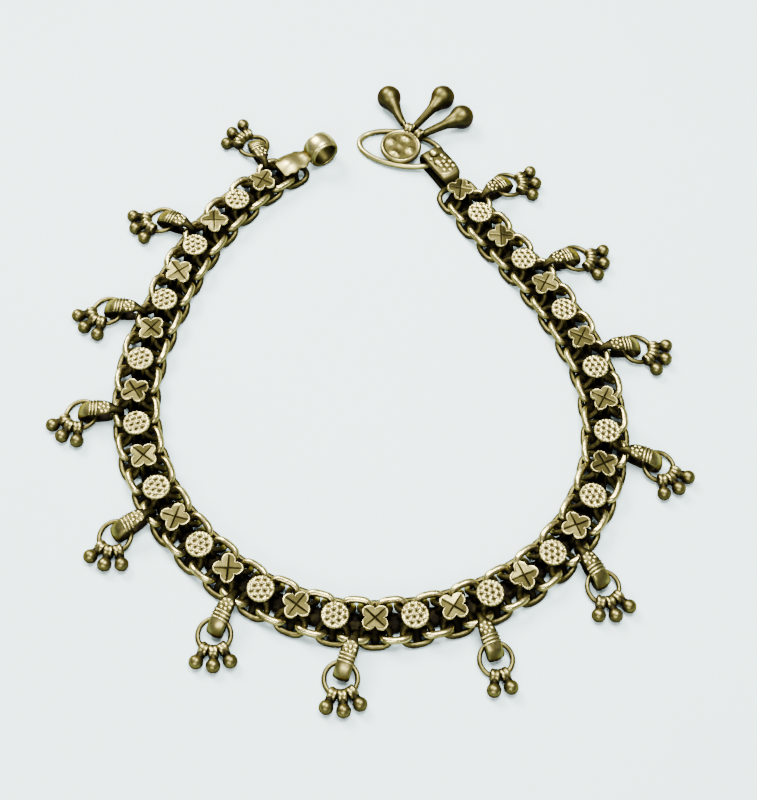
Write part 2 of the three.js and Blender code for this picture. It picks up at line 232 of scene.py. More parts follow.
print("a straight bit of wire has", len(wire([(0, 0, 0), (1, 0, 0), (2, 0, 0)], 0.5)[0]), "points")

# %% [markdown]
# ## Balls and turned shapes
# Small balls are shot melted on charcoal, and the ribbed beads are turned collars. Blender's
# UV sphere and a spun profile are the models for both. We write them as points so that a
# ball can be flattened into a granule and every bead comes from the same list of radii.

# %% Ball and lathe
def ball(centre, radius, rings=10, sides=14, flat=1.0):
    """Ball of latitude rings and two poles; flat squeezes it in height."""
    tilt = np.linspace(0, math.pi, rings + 1)[1:-1]
    turn = circle(sides)
    z, r = np.cos(tilt) * flat, np.sin(tilt)
    points = [(0, 0, flat)]
    points += [(q * math.cos(a), q * math.sin(a), h) for h, q in zip(z, r) for a in turn]
    points.append((0, 0, -flat))
    faces = [(1 + a, 1 + d, 1 + c, 1 + b) for a, b, c, d in grid_faces(len(z), sides, False)]
    last = len(points) - 1
    low = last - sides
    faces += [(0, 1 + s, 1 + (s + 1) % sides) for s in range(sides)]
    faces += [(last, low + (s + 1) % sides, low + s) for s in range(sides)]
    return np.array(points) * radius + np.array(centre), faces


def lathe(profile, sides=24):
    """Turned shape round Z from (radius, height) stations; ends on the axis are closed."""
    turn = circle(sides)
    points = np.array([(r * math.cos(a), r * math.sin(a), h) for r, h in profile for a in turn])
    faces = grid_faces(len(profile), sides, False)
    if profile[0][0] > 0:
        faces.append(tuple(range(sides))[::-1])
    if profile[-1][0] > 0:
        faces.append(tuple(range(len(points) - sides, len(points))))
    return points, faces


print("a ball has", len(ball((0, 0, 0), 1.2)[0]), "points")

# %% [markdown]
# ## Straps
# The bails and the eye are sheet silver, folded round with its outer face hammered slightly
# round. A plane with Solidify and Bend modifiers could give that. Sweeping one section along
# a side view is simpler to steer: each station says where the strap is and how wide.

# %% Strap
STRAP_EDGE = 0.82  # thickness left at the strap's edges, as a share of the whole


def strap(stations, thickness, crown, across=9, closed=True, count=72):
    """Strap along (x, z, width) stations in the XZ plane, its outer face crowned."""
    s = smooth(stations, count, closed)
    path = np.stack([s[:, 0], 0 * s[:, 0], s[:, 1]], 1)
    along = unit_steps(path, closed)
    out = np.stack([-along[:, 2], 0 * along[:, 0], along[:, 0]], 1)
    u = np.linspace(-1, 1, across)
    top = thickness / 2 + crown * (1 - u ** 2)
    edge = STRAP_EDGE * thickness / 2
    section = [(a, h if abs(a) < 1 else edge) for a, h in zip(u, top)]
    section += [(a, -thickness / 2 if abs(a) < 1 else -edge) for a in u[::-1]]
    rings = []
    for p, o, w in zip(path, out, s[:, 2]):
        rings.append([p + o * h + np.array((0, a * w / 2, 0)) for a, h in section])
    points = np.array(rings).reshape(-1, 3)
    faces = grid_faces(count, len(section), closed)
    if not closed:
        faces += end_caps(len(points), len(section))
    return points, faces


print("a strap's section has", 2 * 9, "points")

# %% [markdown]
# ## Gathering shapes into a piece
# A drop is some twenty shapes soldered to one. We gather them in a Piece, and note for every
# point a number from 0 for bright to 1 for black: tarnish, and painted shade in many places.
# Painting an image for each piece would need its surface unfolded; a number on each point doesn't.
#
# Old silver is bright on top and dark below and on its flanks, where no cloth passes, so the
# slope of the finished surface adds to that number. The faces also have to look outward.
# Blender's own recalculation can miss a thin closed shape, so we measure the volume that
# each one encloses and turn those round that come out negative.

# %% Faces outward
def face_outward(mesh, owner):
    """Turns every shape's faces outward; a negative volume means that it is inside out."""
    bm = bmesh.new()
    bm.from_mesh(mesh)
    bmesh.ops.recalc_face_normals(bm, faces=bm.faces)
    bm.faces.ensure_lookup_table()
    volume = np.zeros(max(owner) + 1)
    share = [f.calc_area() * f.normal.dot(f.calc_center_median()) for f in bm.faces]
    np.add.at(volume, owner, share)
    wrong = [f for f, shape in zip(bm.faces, owner) if volume[shape] < 0]
    bmesh.ops.reverse_faces(bm, faces=wrong)
    bm.to_mesh(mesh)
    bm.free()


# %% [markdown]
# The piece itself is a small class, because several functions add shapes to it before its
# mesh is made. Separate objects could be joined afterwards, but then the tarnish and painted
# shade of each would have to be kept in step with its points. Here both are added together.

# %% A piece
DOWNWARD_SHADE = 0.7  # painted shade on a face that looks down
UNSHADED_SLOPE = 0.8  # a face that looks up more than this gets no painted shade
SLOPE_SHADE_REACH = 1.1


class Piece:
    """Collects shapes, and the tarnish and painted shade at each of their points."""

    def __init__(self):
        self.points, self.faces, self.grime, self.owner = [], [], [], []
        self.total = 0

    def add(self, shape, matrix, grime):
        """Adds a shape; grime is one number, or a function of the shape's own points."""
        points, faces = shape
        tarnish = grime(points) if callable(grime) else np.full(len(points), float(grime))
        self.faces += [tuple(i + self.total for i in f) for f in faces]
        self.owner += [len(self.points)] * len(faces)
        self.points.append(moved(points, matrix))
        self.grime.append(tarnish)
        self.total += len(points)

    def make(self, name, node, material):
        """Makes the mesh object, which rides on the part's body in place of the node."""
        mesh = bpy.data.meshes.new(name)
        points = np.vstack(self.points) * MM
        mesh.from_pydata(points.tolist(), [], self.faces)
        mesh.update()
        face_outward(mesh, self.owner)
        mesh.shade_smooth()
        slope = np.array([n.vector[2] for n in mesh.vertex_normals])
        # Faces that look down or sideways are darkened here: painted shade, added to the tarnish.
        slope_shade = DOWNWARD_SHADE * np.clip((UNSHADED_SLOPE - slope) / SLOPE_SHADE_REACH, 0, 1)
        tarnish = np.clip(np.concatenate(self.grime) + slope_shade, 0, 1)
        mesh.attributes.new("grime", "FLOAT", "POINT").data.foreach_set("value", tarnish)
        piece = bpy.data.objects.new(name, mesh)
        bpy.context.scene.collection.objects.link(piece)
        mesh.materials.append(material)
        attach(piece, "root")
        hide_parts(node)
        return piece


# This extra darkness of a face that looks down is painted shade.
print("a face that looks down gets", DOWNWARD_SHADE, "more tarnish")

# %% [markdown]
# ## Where each unit of the chain lies
# On the real chain every flower or disc stands on its own links, and each unit turns a
# little from the last. We could type in 37 positions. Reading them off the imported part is
# safer: the flat top of each plate has its middle at the ornament's centre, and the chain's
# direction there follows from the neighbours.

# %% Middles of the plates
ORNAMENTS = 37
PLATE_TOP = 4.2  # height of the plates in the part


def node_points(name):
    """Corner points of one of the part's nodes, in millimetres."""
    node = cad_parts[name]
    points = np.array([node.matrix_world @ v.co for v in node.data.vertices]) / MM
    return np.unique(points.round(4), axis=0)


def plate_middle(name):
    points = node_points(name)
    top = points[np.abs(points[:, 2] - PLATE_TOP) < 0.01]
    return top[:, :2].mean(0)


kinds = ["flower" if k % 2 else "disc" for k in range(1, ORNAMENTS)]
centres = [plate_middle("%s_link_%02d" % (kind, k + 1)) for k, kind in enumerate(kinds)]
print("plates found:", len(centres))

# %% [markdown]
# The cap at one end and the last flower at the other have shapes of their own, so we find
# their centres by going on in the same gentle curve for one more step.

# %% Units and gaps
def beyond(a, b, c):
    """The point that follows c, as c follows b after a."""
    turn = math.atan2(*(c - b)[::-1]) - math.atan2(*(b - a)[::-1])
    step = c - b
    r = np.array([[math.cos(turn), -math.sin(turn)], [math.sin(turn), math.cos(turn)]])
    return c + r @ step


centres.insert(0, beyond(centres[2], centres[1], centres[0]))
centres.append(beyond(centres[-3], centres[-2], centres[-1]))
centres = np.array(centres)
steps = np.diff(centres, axis=0)
gap_headings = np.unwrap(np.arctan2(steps[:, 1], steps[:, 0]))
headings = np.concatenate([[2 * gap_headings[0] - gap_headings[1]], gap_headings,
                           [2 * gap_headings[-1] - gap_headings[-2]]])
headings = (headings[1:] + headings[:-1]) / 2
unit_frames = [place(c[0], c[1], h) for c, h in zip(centres, headings)]
gap_frames = [place(*((centres[i] + centres[i + 1]) / 2), gap_headings[i])
              for i in range(ORNAMENTS)]
pitch = np.linalg.norm(steps, axis=1).round(2)
print("pitch:", pitch.min(), "to", pitch.max(), "mm")

# %% [markdown]
# ## The camera
# The picture was taken by hand from in front and above. Round things tell how steeply: a
# disc seen at a slant becomes an ellipse, and how flat it is gives the angle. We could place
# the camera by eye with a Track To constraint. Here its position, slant and slight roll were
# fitted to the discs and balls, and are written down as one matrix.

# %% Camera
CAMERA = (0.98, -130.04, 221.64)
DOWN_TILT = math.radians(60.77)
ROLL = math.radians(-3.58)
LENS = 65.25
right = np.array((1.0, 0, 0))
ahead = np.array((0, math.cos(DOWN_TILT), -math.sin(DOWN_TILT)))
down = np.array((0, -math.sin(DOWN_TILT), -math.cos(DOWN_TILT)))
image_x = math.cos(ROLL) * right + math.sin(ROLL) * down
image_y = -math.sin(ROLL) * right + math.cos(ROLL) * down
camera_data = bpy.data.cameras.new("camera")
camera_data.lens = LENS
camera_data.clip_start = 0.01
camera = bpy.data.objects.new("camera", camera_data)
camera.matrix_world = Matrix([
    [image_x[0], -image_y[0], -ahead[0], CAMERA[0] * MM],
    [image_x[1], -image_y[1], -ahead[1], CAMERA[1] * MM],
    [image_x[2], -image_y[2], -ahead[2], CAMERA[2] * MM],
    [0, 0, 0, 1]])
bpy.context.scene.collection.objects.link(camera)
bpy.context.scene.camera = camera
print("camera:", round(math.degrees(DOWN_TILT), 1), "degrees down, lens", LENS, "mm")

# %% [markdown]
# ## The table
# The anklet lies on a pale, slightly cool surface with no pattern. A white plane would do,
# but a perfectly even one looks like empty background. A large, very faint noise between two
# close tints lets the eye read it as a surface. It is stage, not part of the anklet.

# %% Table
TABLE_REACH = 6.0  # metres, so that its edge stays out of low views
TABLE_HEIGHT = -0.00002
TABLE_TINTS = ((0.68, 0.90, 0.88, 1), (0.73, 0.94, 0.92, 1))

table_mesh = bpy.data.meshes.new("table")
table_mesh.from_pydata([(x * TABLE_REACH, y * TABLE_REACH, TABLE_HEIGHT)
                        for x, y in ((-1, -1), (1, -1), (1, 1), (-1, 1))], [], [(0, 1, 2, 3)])
table = bpy.data.objects.new("table", table_mesh)
bpy.context.scene.collection.objects.link(table)
table_material = bpy.data.materials.new("table")
table_material.use_nodes = True
nodes, links = table_material.node_tree.nodes, table_material.node_tree.links
shader = nodes["Principled BSDF"]
shader.inputs["Roughness"].default_value = 0.75
shader.inputs["Specular IOR Level"].default_value = 0.25
coordinates = nodes.new("ShaderNodeTexCoord")
mottle = nodes.new("ShaderNodeTexNoise")
mottle.inputs["Scale"].default_value = 14.0
mottle.inputs["Detail"].default_value = 3.0
tint = nodes.new("ShaderNodeValToRGB")
for stop, color in zip(tint.color_ramp.elements, TABLE_TINTS):
    stop.color = color
links.new(coordinates.outputs["Object"], mottle.inputs["Vector"])
links.new(mottle.outputs["Fac"], tint.inputs["Fac"])
links.new(tint.outputs["Color"], shader.inputs["Base Color"])
table.data.materials.append(table_material)
print("table:", 2 * TABLE_REACH, "m wide")

# %% [markdown]
# ## The light
# The shadows are faint and fall to the lower right, and the top of each link has a soft
# bright streak. One strong lamp would give hard shadows, and a plain sky none at all. Three
# area lamps stand in for a window at the upper left, a ceiling panel straight above, which
# draws the streaks, and some light from the front that keeps the near sides readable.

# %% Lamps
def soft_light(name, at, target, size, power, color):
    """Rectangular lamp at a point in metres, turned towards the target."""
    data = bpy.data.lights.new(name, "AREA")
    data.shape = "RECTANGLE"
    data.size, data.size_y = size
    data.energy = power
    data.color = color
    light = bpy.data.objects.new(name, data)
    way = np.array(target, float) - np.array(at, float)
    way /= np.linalg.norm(way)
    side = np.cross(way, (0, 0, 1.0))
    side /= np.linalg.norm(side)
    up = np.cross(side, way)
    light.matrix_world = Matrix([
        [side[0], up[0], -way[0], at[0]], [side[1], up[1], -way[1], at[1]],
        [side[2], up[2], -way[2], at[2]], [0, 0, 0, 1]])
    bpy.context.scene.collection.objects.link(light)
    return light


lamps = [
    soft_light("window", (-0.42, 0.45, 0.62), (0, 0, 0), (0.36, 0.36), 19.0, (1.0, 0.985, 0.95)),
    soft_light("ceiling", (0.03, 0.03, 0.36), (0, 0.01, 0), (0.16, 0.16), 3.6, (1.0, 1.0, 1.0)),
    soft_light("front", (-0.15, -0.6, 0.5), (0, 0, 0), (0.5, 0.2), 6.0, (1.0, 0.99, 0.96)),
]
print("lamps:", [(lamp.name, round(lamp.data.energy, 1)) for lamp in lamps])

# %% [markdown]
# Metal shows little of its own: it mirrors the room. A photograph of a room could be wrapped
# round the scene, but a plain room that is dark at the floor and pale overhead already gives
# the silver its dark flanks and light tops, and needs no file.

# %% Room
DARK_WALLS = (0.12, 0.12, 0.12, 1)
PALE_CEILING = (0.95, 0.97, 1.0, 1)
ROOM_STRENGTH = 0.6

world = bpy.data.worlds.new("room")
bpy.context.scene.world = world
world.use_nodes = True
nodes, links = world.node_tree.nodes, world.node_tree.links
background = nodes["Background"]
room = nodes.new("ShaderNodeTexCoord")
split = nodes.new("ShaderNodeSeparateXYZ")
walls = nodes.new("ShaderNodeValToRGB")
walls.color_ramp.elements[0].position = 0.0
walls.color_ramp.elements[0].color = DARK_WALLS
walls.color_ramp.elements[1].position = 0.9
walls.color_ramp.elements[1].color = PALE_CEILING
links.new(room.outputs["Generated"], split.inputs[0])
links.new(split.outputs["Z"], walls.inputs["Fac"])
links.new(walls.outputs["Color"], background.inputs["Color"])
background.inputs["Strength"].default_value = ROOM_STRENGTH
print("room strength:", ROOM_STRENGTH)

# %% [markdown]
# ## Tarnish and painted shade as a node group
# Silver alloy turns yellow, then olive, then brown and black, and rubbing brings the metal
# back where it reaches. All pieces of the anklet share this, so it becomes one node group
# that every material places with values of its own. Copying the nodes into each material
# would work too, but a change of tone would then have to be made in every copy.
#
# The group puts out values only. The shader itself stays in the material, where an exporter
# can read it. First come its sockets: the strength and size of the smears, two roughnesses
# and the four tones.

# %% Sockets of the group
SHADE_AND_TARNISH_GROUP = bpy.data.node_groups.new("tarnish", "ShaderNodeTree")


def socket(name, way, kind, value=None):
    """Adds a named socket to the tarnish group."""
    made = SHADE_AND_TARNISH_GROUP.interface.new_socket(name=name, in_out=way, socket_type=kind)
    if value is not None:
        made.default_value = value
    return made


for name, value in (("Smear", 0.4), ("Smear Size", 520.0), ("Skin Size", 1500.0),
                    ("Bright Roughness", 0.25), ("Dark Roughness", 0.6)):
    socket(name, "INPUT", "NodeSocketFloat", value)
TONES = ("Bright", "Olive", "Brown", "Black")
for name in TONES:
    socket(name, "INPUT", "NodeSocketColor", (0.5, 0.5, 0.5, 1))
socket("Color", "OUTPUT", "NodeSocketColor")
for name in ("Roughness", "Metallic", "Skin"):
    socket(name, "OUTPUT", "NodeSocketFloat")
print("tarnish sockets:", [item.name for item in SHADE_AND_TARNISH_GROUP.interface.items_tree])

# %% [markdown]
# The amount is the number stored on the mesh, tarnish and painted shade together, plus a fine
# cloudy noise. Without the noise the tones would run as smoothly as paint; real tarnish is
# smeared and patchy.

# %% Amount of tarnish
nodes, links = SHADE_AND_TARNISH_GROUP.nodes, SHADE_AND_TARNISH_GROUP.links
given, result = nodes.new("NodeGroupInput"), nodes.new("NodeGroupOutput")
coordinates = nodes.new("ShaderNodeTexCoord")
grime = nodes.new("ShaderNodeAttribute")
grime.attribute_name = "grime"
blotch = nodes.new("ShaderNodeTexNoise")
blotch.inputs["Detail"].default_value = 4.0
blotch.inputs["Roughness"].default_value = 0.6
links.new(coordinates.outputs["Object"], blotch.inputs["Vector"])
links.new(given.outputs["Smear Size"], blotch.inputs["Scale"])
centred = nodes.new("ShaderNodeMath")
centred.operation = "SUBTRACT"
centred.inputs[1].default_value = 0.5
links.new(blotch.outputs["Fac"], centred.inputs[0])
total = nodes.new("ShaderNodeMath")
total.operation = "MULTIPLY_ADD"
total.use_clamp = True
links.new(centred.outputs[0], total.inputs[0])
links.new(given.outputs["Smear"], total.inputs[1])
links.new(grime.outputs["Fac"], total.inputs[2])
print("amount = (noise - 0.5) * smear + what the mesh says")

# %% [markdown]
# The tone steps from bright metal through olive and brown to black as that amount grows. A
# single colour ramp could hold the four, but its stops can't be inputs of a group. Three
# mixes in a row can, so each finish may bring its own tones.

# %% Tone
TONE_STEPS = (("Olive", 0.0, 0.3), ("Brown", 0.3, 0.6), ("Black", 0.6, 1.0))

color = given.outputs["Bright"]
for name, start, end in TONE_STEPS:
    step = nodes.new("ShaderNodeMapRange")
    step.inputs["From Min"].default_value = start
    step.inputs["From Max"].default_value = end
    links.new(total.outputs[0], step.inputs["Value"])
    mix = nodes.new("ShaderNodeMix")
    mix.data_type = "RGBA"
    links.new(step.outputs[0], mix.inputs["Factor"])
    links.new(color, mix.inputs[6])
    links.new(given.outputs[name], mix.inputs[7])
    color = mix.outputs[2]
links.new(color, result.inputs["Color"])
print("tone steps:", len(TONE_STEPS))

# %% [markdown]
# Tarnish is a crust, so it is rougher than the metal and, where it is black, a little less
# metallic. The last output is the metal's skin: a finer noise that the material turns into
# tiny dents, since nothing hammered by hand has a flawless surface.

# %% Gloss and skin
rough = nodes.new("ShaderNodeMapRange")
links.new(total.outputs[0], rough.inputs["Value"])
links.new(given.outputs["Bright Roughness"], rough.inputs["To Min"])
links.new(given.outputs["Dark Roughness"], rough.inputs["To Max"])
links.new(rough.outputs[0], result.inputs["Roughness"])
metal = nodes.new("ShaderNodeMapRange")
metal.inputs["From Min"].default_value = 0.6
metal.inputs["To Min"].default_value = 1.0
metal.inputs["To Max"].default_value = 0.9
links.new(total.outputs[0], metal.inputs["Value"])
links.new(metal.outputs[0], result.inputs["Metallic"])
skin = nodes.new("ShaderNodeTexNoise")
skin.inputs["Detail"].default_value = 2.0
links.new(coordinates.outputs["Object"], skin.inputs["Vector"])
links.new(given.outputs["Skin Size"], skin.inputs["Scale"])
links.new(skin.outputs["Fac"], result.inputs["Skin"])
print("tarnish group:", len(nodes), "nodes")

# %% [markdown]
# ## Three finishes of one silver
# The wire is hammered and blotched, the plates are stamped and a little cleaner, and the
# balls are smooth. They could be three unlike materials, but it is all one alloy that aged
# together: only the smears, the gloss and the depth of the dents differ. The metal's colour
# where it is seen almost edge on is held down, or every outline would shine pale green with
# the table's light.

# %% Finishes
SILVER = [(0.56, 0.48, 0.175), (0.165, 0.142, 0.042), (0.04, 0.0345, 0.0095),
          (0.002, 0.0017, 0.0008)]
EDGE = (0.5, 0.37, 0.29, 1)
DENT_DEPTH = 0.0001  # metres


def aged_silver(name, smear, bright_roughness, dark_roughness, hammer):
    """Silver with the tarnish and painted shade group in front of its shader."""
    material = bpy.data.materials.new(name)
    material.use_nodes = True
    nodes, links = material.node_tree.nodes, material.node_tree.links
    shader = nodes["Principled BSDF"]
    tarnish = nodes.new("ShaderNodeGroup")
    tarnish.node_tree = SHADE_AND_TARNISH_GROUP
    tarnish.inputs["Smear"].default_value = smear
    tarnish.inputs["Bright Roughness"].default_value = bright_roughness
    tarnish.inputs["Dark Roughness"].default_value = dark_roughness
    for tone, value in zip(TONES, SILVER):
        tarnish.inputs[tone].default_value = (*value, 1)
    links.new(tarnish.outputs["Color"], shader.inputs["Base Color"])
    links.new(tarnish.outputs["Roughness"], shader.inputs["Roughness"])
    links.new(tarnish.outputs["Metallic"], shader.inputs["Metallic"])
    bump = nodes.new("ShaderNodeBump")
    bump.inputs["Strength"].default_value = hammer
    bump.inputs["Distance"].default_value = DENT_DEPTH
    links.new(tarnish.outputs["Skin"], bump.inputs["Height"])
    links.new(bump.outputs["Normal"], shader.inputs["Normal"])
    shader.inputs["Specular Tint"].default_value = EDGE
    return material


wire_silver = aged_silver("wire_silver", 0.75, 0.21, 0.6, 0.6)
plate_silver = aged_silver("plate_silver", 0.35, 0.27, 0.6, 0.25)
ball_silver = aged_silver("ball_silver", 0.6, 0.23, 0.55, 0.3)
print("finishes:", [m.name for m in (wire_silver, plate_silver, ball_silver)])

# %% [markdown]
# ## The low links
# The chain is two strands side by side. In each strand a low link is soldered under every
# ornament and slants down to the table at its outer side. A torus stretched in edit mode
# would be too round: these links are ovals with nearly straight sides. A superellipse gives
# that with one number, and tilting it puts its inner side high and its outer side low.

# %% An oval link
def oval_path(half, inner, outer, square=0.82, flare=0.0, count=44):
    """A link's middle line; inner and outer are the (y, z) of its long sides."""
    t = circle(count)
    c, s = np.cos(t), np.sin(t)
    c = np.sign(c) * np.abs(c) ** square
    s = np.sign(s) * np.abs(s) ** square
    inner, outer = np.array(inner), np.array(outer)
    yz = (inner + outer) / 2 + np.outer(s, (outer - inner) / 2)
    return np.column_stack([half * c * (1 + flare * s), yz])


LOWER_WIRE = 1.12
LOW_HALF = 2.38  # half a low link's length
LOW_INNER = (0.95, 2.86)
LOW_OUTER = (3.82, LOWER_WIRE / 2)
print("low link:", 2 * LOW_HALF, "mm along the chain")

# %% [markdown]
# A low link gets painted shade where the plate and its neighbours cover it, and only its outer
# side stays bright. The dark number is therefore worked out from where a point lies: high numbers
# near the chain's middle and near the table. A nearly black web fills the link under the plate as
# painted shade, and two short legs hold the plate up; without them daylight would show through the
# chain.

# %% Low link
ROUND_BLOT = (0.62, 6, 10, 0.6)  # radius, rings, sides and flatness of a blot of solder
LEG_WIRE = 0.84


def low_link_tarnish_and_shade(points):
    """Light tarnish of a low link, with painted shade under the plate and near the table."""
    # Painted shade where the plate covers the link, and towards the table.
    under_plate_shade = np.clip((3.1 - np.abs(points[:, 1])) / 1.1, 0, 1)
    low = np.clip((2.0 - points[:, 2]) / 1.4, 0, 1)
    return np.clip(0.04 + 0.66 * low + 0.75 * under_plate_shade, 0, 1)


def leg_tarnish_and_shade(points):
    # The legs get painted shade towards the table, under the plate.
    return 0.15 + 0.75 * np.clip((3.0 - points[:, 2]) / 1.4, 0, 1)


def add_low_link(piece, here, side, squeeze):
    """Low link on one side of an ornament, with its solder, a web of painted shade and two legs.
    """
    low = oval_path(LOW_HALF, LOW_INNER, LOW_OUTER, flare=0.08) * squeeze
    wobble = place(*random.normal(0, 0.05, 2), random.normal(0, 0.025))
    piece.add(wire(moved(low, wobble), LOWER_WIRE / 2, closed=True), here,
              low_link_tarnish_and_shade)
    piece.add(ball((0, 0.95 * side, 3.1), *ROUND_BLOT), here, 0.6)
    web = [(0, 1.3, 2.4), (0, 2.3, 1.3), (0, 3.3, 0.62)]
    # The web is nearly black: painted shade inside the link under the plate.
    piece.add(wire(np.array(web) * squeeze, (0.9, 0.8, 0.6), 8), here, 0.95)
    for x in (1.35, -1.35):
        leg = [(x, 0.85 * side, 3.25), (x * 1.25, 0.9 * side, 2.7), (x * 1.75, 0.8 * side, 1.4)]
        leg = np.array(leg) + random.normal(0, 0.06, 3)
        piece.add(wire(smooth(leg, 7), LEG_WIRE / 2, 8), here, leg_tarnish_and_shade)


print("solder blot:", 2 * ROUND_BLOT[0], "mm wide")

# %% [markdown]
# ## The raised links
# Over every gap a second link rises at its outer side and dips to the table in the middle of
# the chain. It passes through both of its neighbours and holds the strand together. It uses
# the same oval, tilted the other way and drawn with thicker wire. Its high outer side is the
# brightest part of the strand, and painted shade makes its inner side as black as the rest of the
# hollow.

# %% Raised link
UPPER_WIRE = 1.25
RAISED_HALF = 2.22
RAISED_INNER = (0.82, UPPER_WIRE / 2)
RAISED_OUTER = (3.55, 2.45)


def raised_link_tarnish_and_shade(points):
    """Tarnish of a raised link with painted shade: low and inner places are black, raised outer
    ones bright.
    """
    y, z = np.abs(points[:, 1]), points[:, 2]
    low = np.clip((2.0 - z) / 1.4, 0, 1)
    inside = np.clip((3.0 - y) / 1.3, 0, 1)
    return 0.04 + 0.66 * low + 0.7 * inside * np.clip((2.9 - z) / 1.1, 0, 1)


def add_raised_link(piece, here, squeeze):
    """Raised link on one side of a gap."""
    lift = random.normal(0, 0.06)
    outer = (RAISED_OUTER[0], RAISED_OUTER[1] + lift)
    high = oval_path(RAISED_HALF, RAISED_INNER, outer, square=0.72) * squeeze
    wobble = place(*random.normal(0, 0.05, 2), random.normal(0, 0.03))
    piece.add(wire(moved(high, wobble), UPPER_WIRE / 2, closed=True), here,
              raised_link_tarnish_and_shade)


print("raised link:", 2 * RAISED_HALF, "mm along the chain, wire", UPPER_WIRE, "mm")

# %% [markdown]
# ## One unit of the strands
# A unit is the pair of low links under an ornament and the pair of raised links after it. In
# the middle the real chain is a hollow in shade where several wires cross. Modelling each of
# them would cost much and show nothing, so a black turned post under the plate and a low
# black web in the gap fill it with painted shade.

# %% Strand unit
HOLLOW_SHADE_POST = [(0.9, 0.35), (1.5, 0.7), (1.75, 1.6), (1.7, 2.6), (1.9, 3.3)]
GAP_SHADE_WEB = [(0.5, 0.15), (1.6, 0.3), (1.75, 0.8), (1.3, 1.15), (0.4, 1.25)]
INNER_SQUEEZE = 0.95  # the loop's inner strand is a little narrower
CAP_SQUEEZE = 0.22  # and is drawn in further towards the cap


def side_squeeze(side, k):
    """Scale that puts a link on the inner (1) or outer (-1) side of unit k."""
    inner = INNER_SQUEEZE - CAP_SQUEEZE * max(0.0, 1 - k / 3)
    return np.array((1, side * (inner if side > 0 else 1), 1))


def add_links(piece, k, here):
    """The two low links of ornament k, and the two raised links of the gap after it."""
    for side in (1, -1):
        add_low_link(piece, here, side, side_squeeze(side, k))
    # The post is black all over: painted shade in the chain's hollow.
    piece.add(lathe(HOLLOW_SHADE_POST, 16), here, 1.0)
    if k < ORNAMENTS:
        for side in (1, -1):
            add_raised_link(piece, gap_frames[k], side_squeeze(side, k))
        # The gap's web is black all over: painted shade between the raised links.
        piece.add(lathe(GAP_SHADE_WEB, 16), gap_frames[k], 1.0)


print("inner side at the cap:", side_squeeze(1, 0)[1].round(2), "and along the chain:",
      side_squeeze(1, 9)[1])

# %% [markdown]
# ## Granulated discs
# Every second ornament is a small low dome. It looks like a heap of bright grains with round
# black pits between them, and has a beaded rim. Some eighty small balls would do it, but
# would cost more triangles than all the links under them. One dome with relief needs about
# half as many: three waves crossed at sixty degrees make an even net of pits, and the same
# net that sinks a pit also blackens it.

# %% Pattern of pits
PIT_SPACING = 1.12


def pit_pattern(x, y):
    """0 in the pits, which stand on a triangular net, and 1 on the grains between them."""
    total = 0
    wave = 4 * math.pi / math.sqrt(3) / PIT_SPACING
    for k in range(3):
        a = k * math.pi / 3
        total = total + np.cos(wave * (x * math.cos(a) + y * math.sin(a)))
    return (3 - total) / 4.5


print("pattern in a pit:", pit_pattern(0.0, 0.0), "and beside it:",
      round(float(pit_pattern(PIT_SPACING / 2, 0.0)), 2))

# %% [markdown]
# The disc is that dome, built in rings from its middle out. Near the rim the net of grains
# gives way to a row of beads, and the last rings drop to a darker edge. Every disc starts at
# another place in the net and is turned, so that no two show the same pits.

# %% Disc
DISC_RADIUS = 2.28
DISC_FACE = 2.1  # radius where the rim starts to round off
DISC_TOP = 4.02
DISC_SIDES = 96
RIM_BEADS = 22
DISC_RADII = np.concatenate([np.linspace(0.05, DISC_FACE, 21), [2.18, 2.24, DISC_RADIUS]])
DISC_EDGE = ((DISC_RADIUS, 3.72, 0.1), (2.22, 3.5, 0.3), (1.95, 3.3, 0.8))


def flat_round(radius, angle, z):
    """Points of a ring whose radius and height may change with the angle."""
    return list(np.stack([radius * np.cos(angle), radius * np.sin(angle), 0 * angle + z], 1))


def add_disc(piece, here, spin):
    """Granulated disc; the last rings of its rim are (radius, height, tarnish)."""
    angle = circle(DISC_SIDES)
    dx, dy = random.uniform(-0.5, 0.5, 2)
    points, grime = [], []
    for r in DISC_RADII:
        net = pit_pattern(r * np.cos(angle) + dx, r * np.sin(angle) + dy)
        grain = 0.42 + 0.58 * net ** 5 - 0.7 * np.exp(-(net / 0.25) ** 2)
        beads = 0.5 + 0.5 * np.cos(RIM_BEADS * angle)
        edge = np.clip((r - 1.85) / 0.15, 0, 1)
        h = (1 - edge) * grain + edge * (0.55 + 0.45 * beads)
        bevel = 0.2 * max(0, (r - DISC_FACE) / 0.18) ** 2
        points += flat_round(r, angle, DISC_TOP - 0.035 * r ** 2 + 0.34 * (h - 0.5) - bevel)
        grime += list(np.clip(0.9 - 1.15 * h, 0.0, 0.9) - 0.32 * (r < DISC_FACE))
    for r, z, dark in DISC_EDGE:
        points += flat_round(r, angle, z)
        grime += [dark] * DISC_SIDES
    shape = closed_dome(points, DISC_SIDES)
    piece.add(shape, here @ place(0, 0, spin), lambda p: np.array(grime))


print("disc:", 2 * DISC_RADIUS, "mm wide,", len(DISC_RADII) + len(DISC_EDGE), "rings of points")

# %% [markdown]
# ## Stamped flowers
# Between the discs sit flat flowers of four round petals. They were cut from sheet, and two
# chiselled lines cross on them. Their rims are rubbed bright, and the four fields between
# the lines tilt a little differently, so one often flashes while its neighbours stay olive.
#
# A subdivided plane cut with booleans would make the outline but not the relief. Instead we
# walk round the outline, where each petal is an arc of a circle, and shrink it to the middle
# in rings. Grooves, tilts and rim then come from simple sums at each point.

# %% Flower outline
LOBE_AT = 1.41  # from the flower's middle to a petal's
LOBE_RADIUS = 1.1
FLOWER_SIDES = 128
QUARTER = math.pi / 2

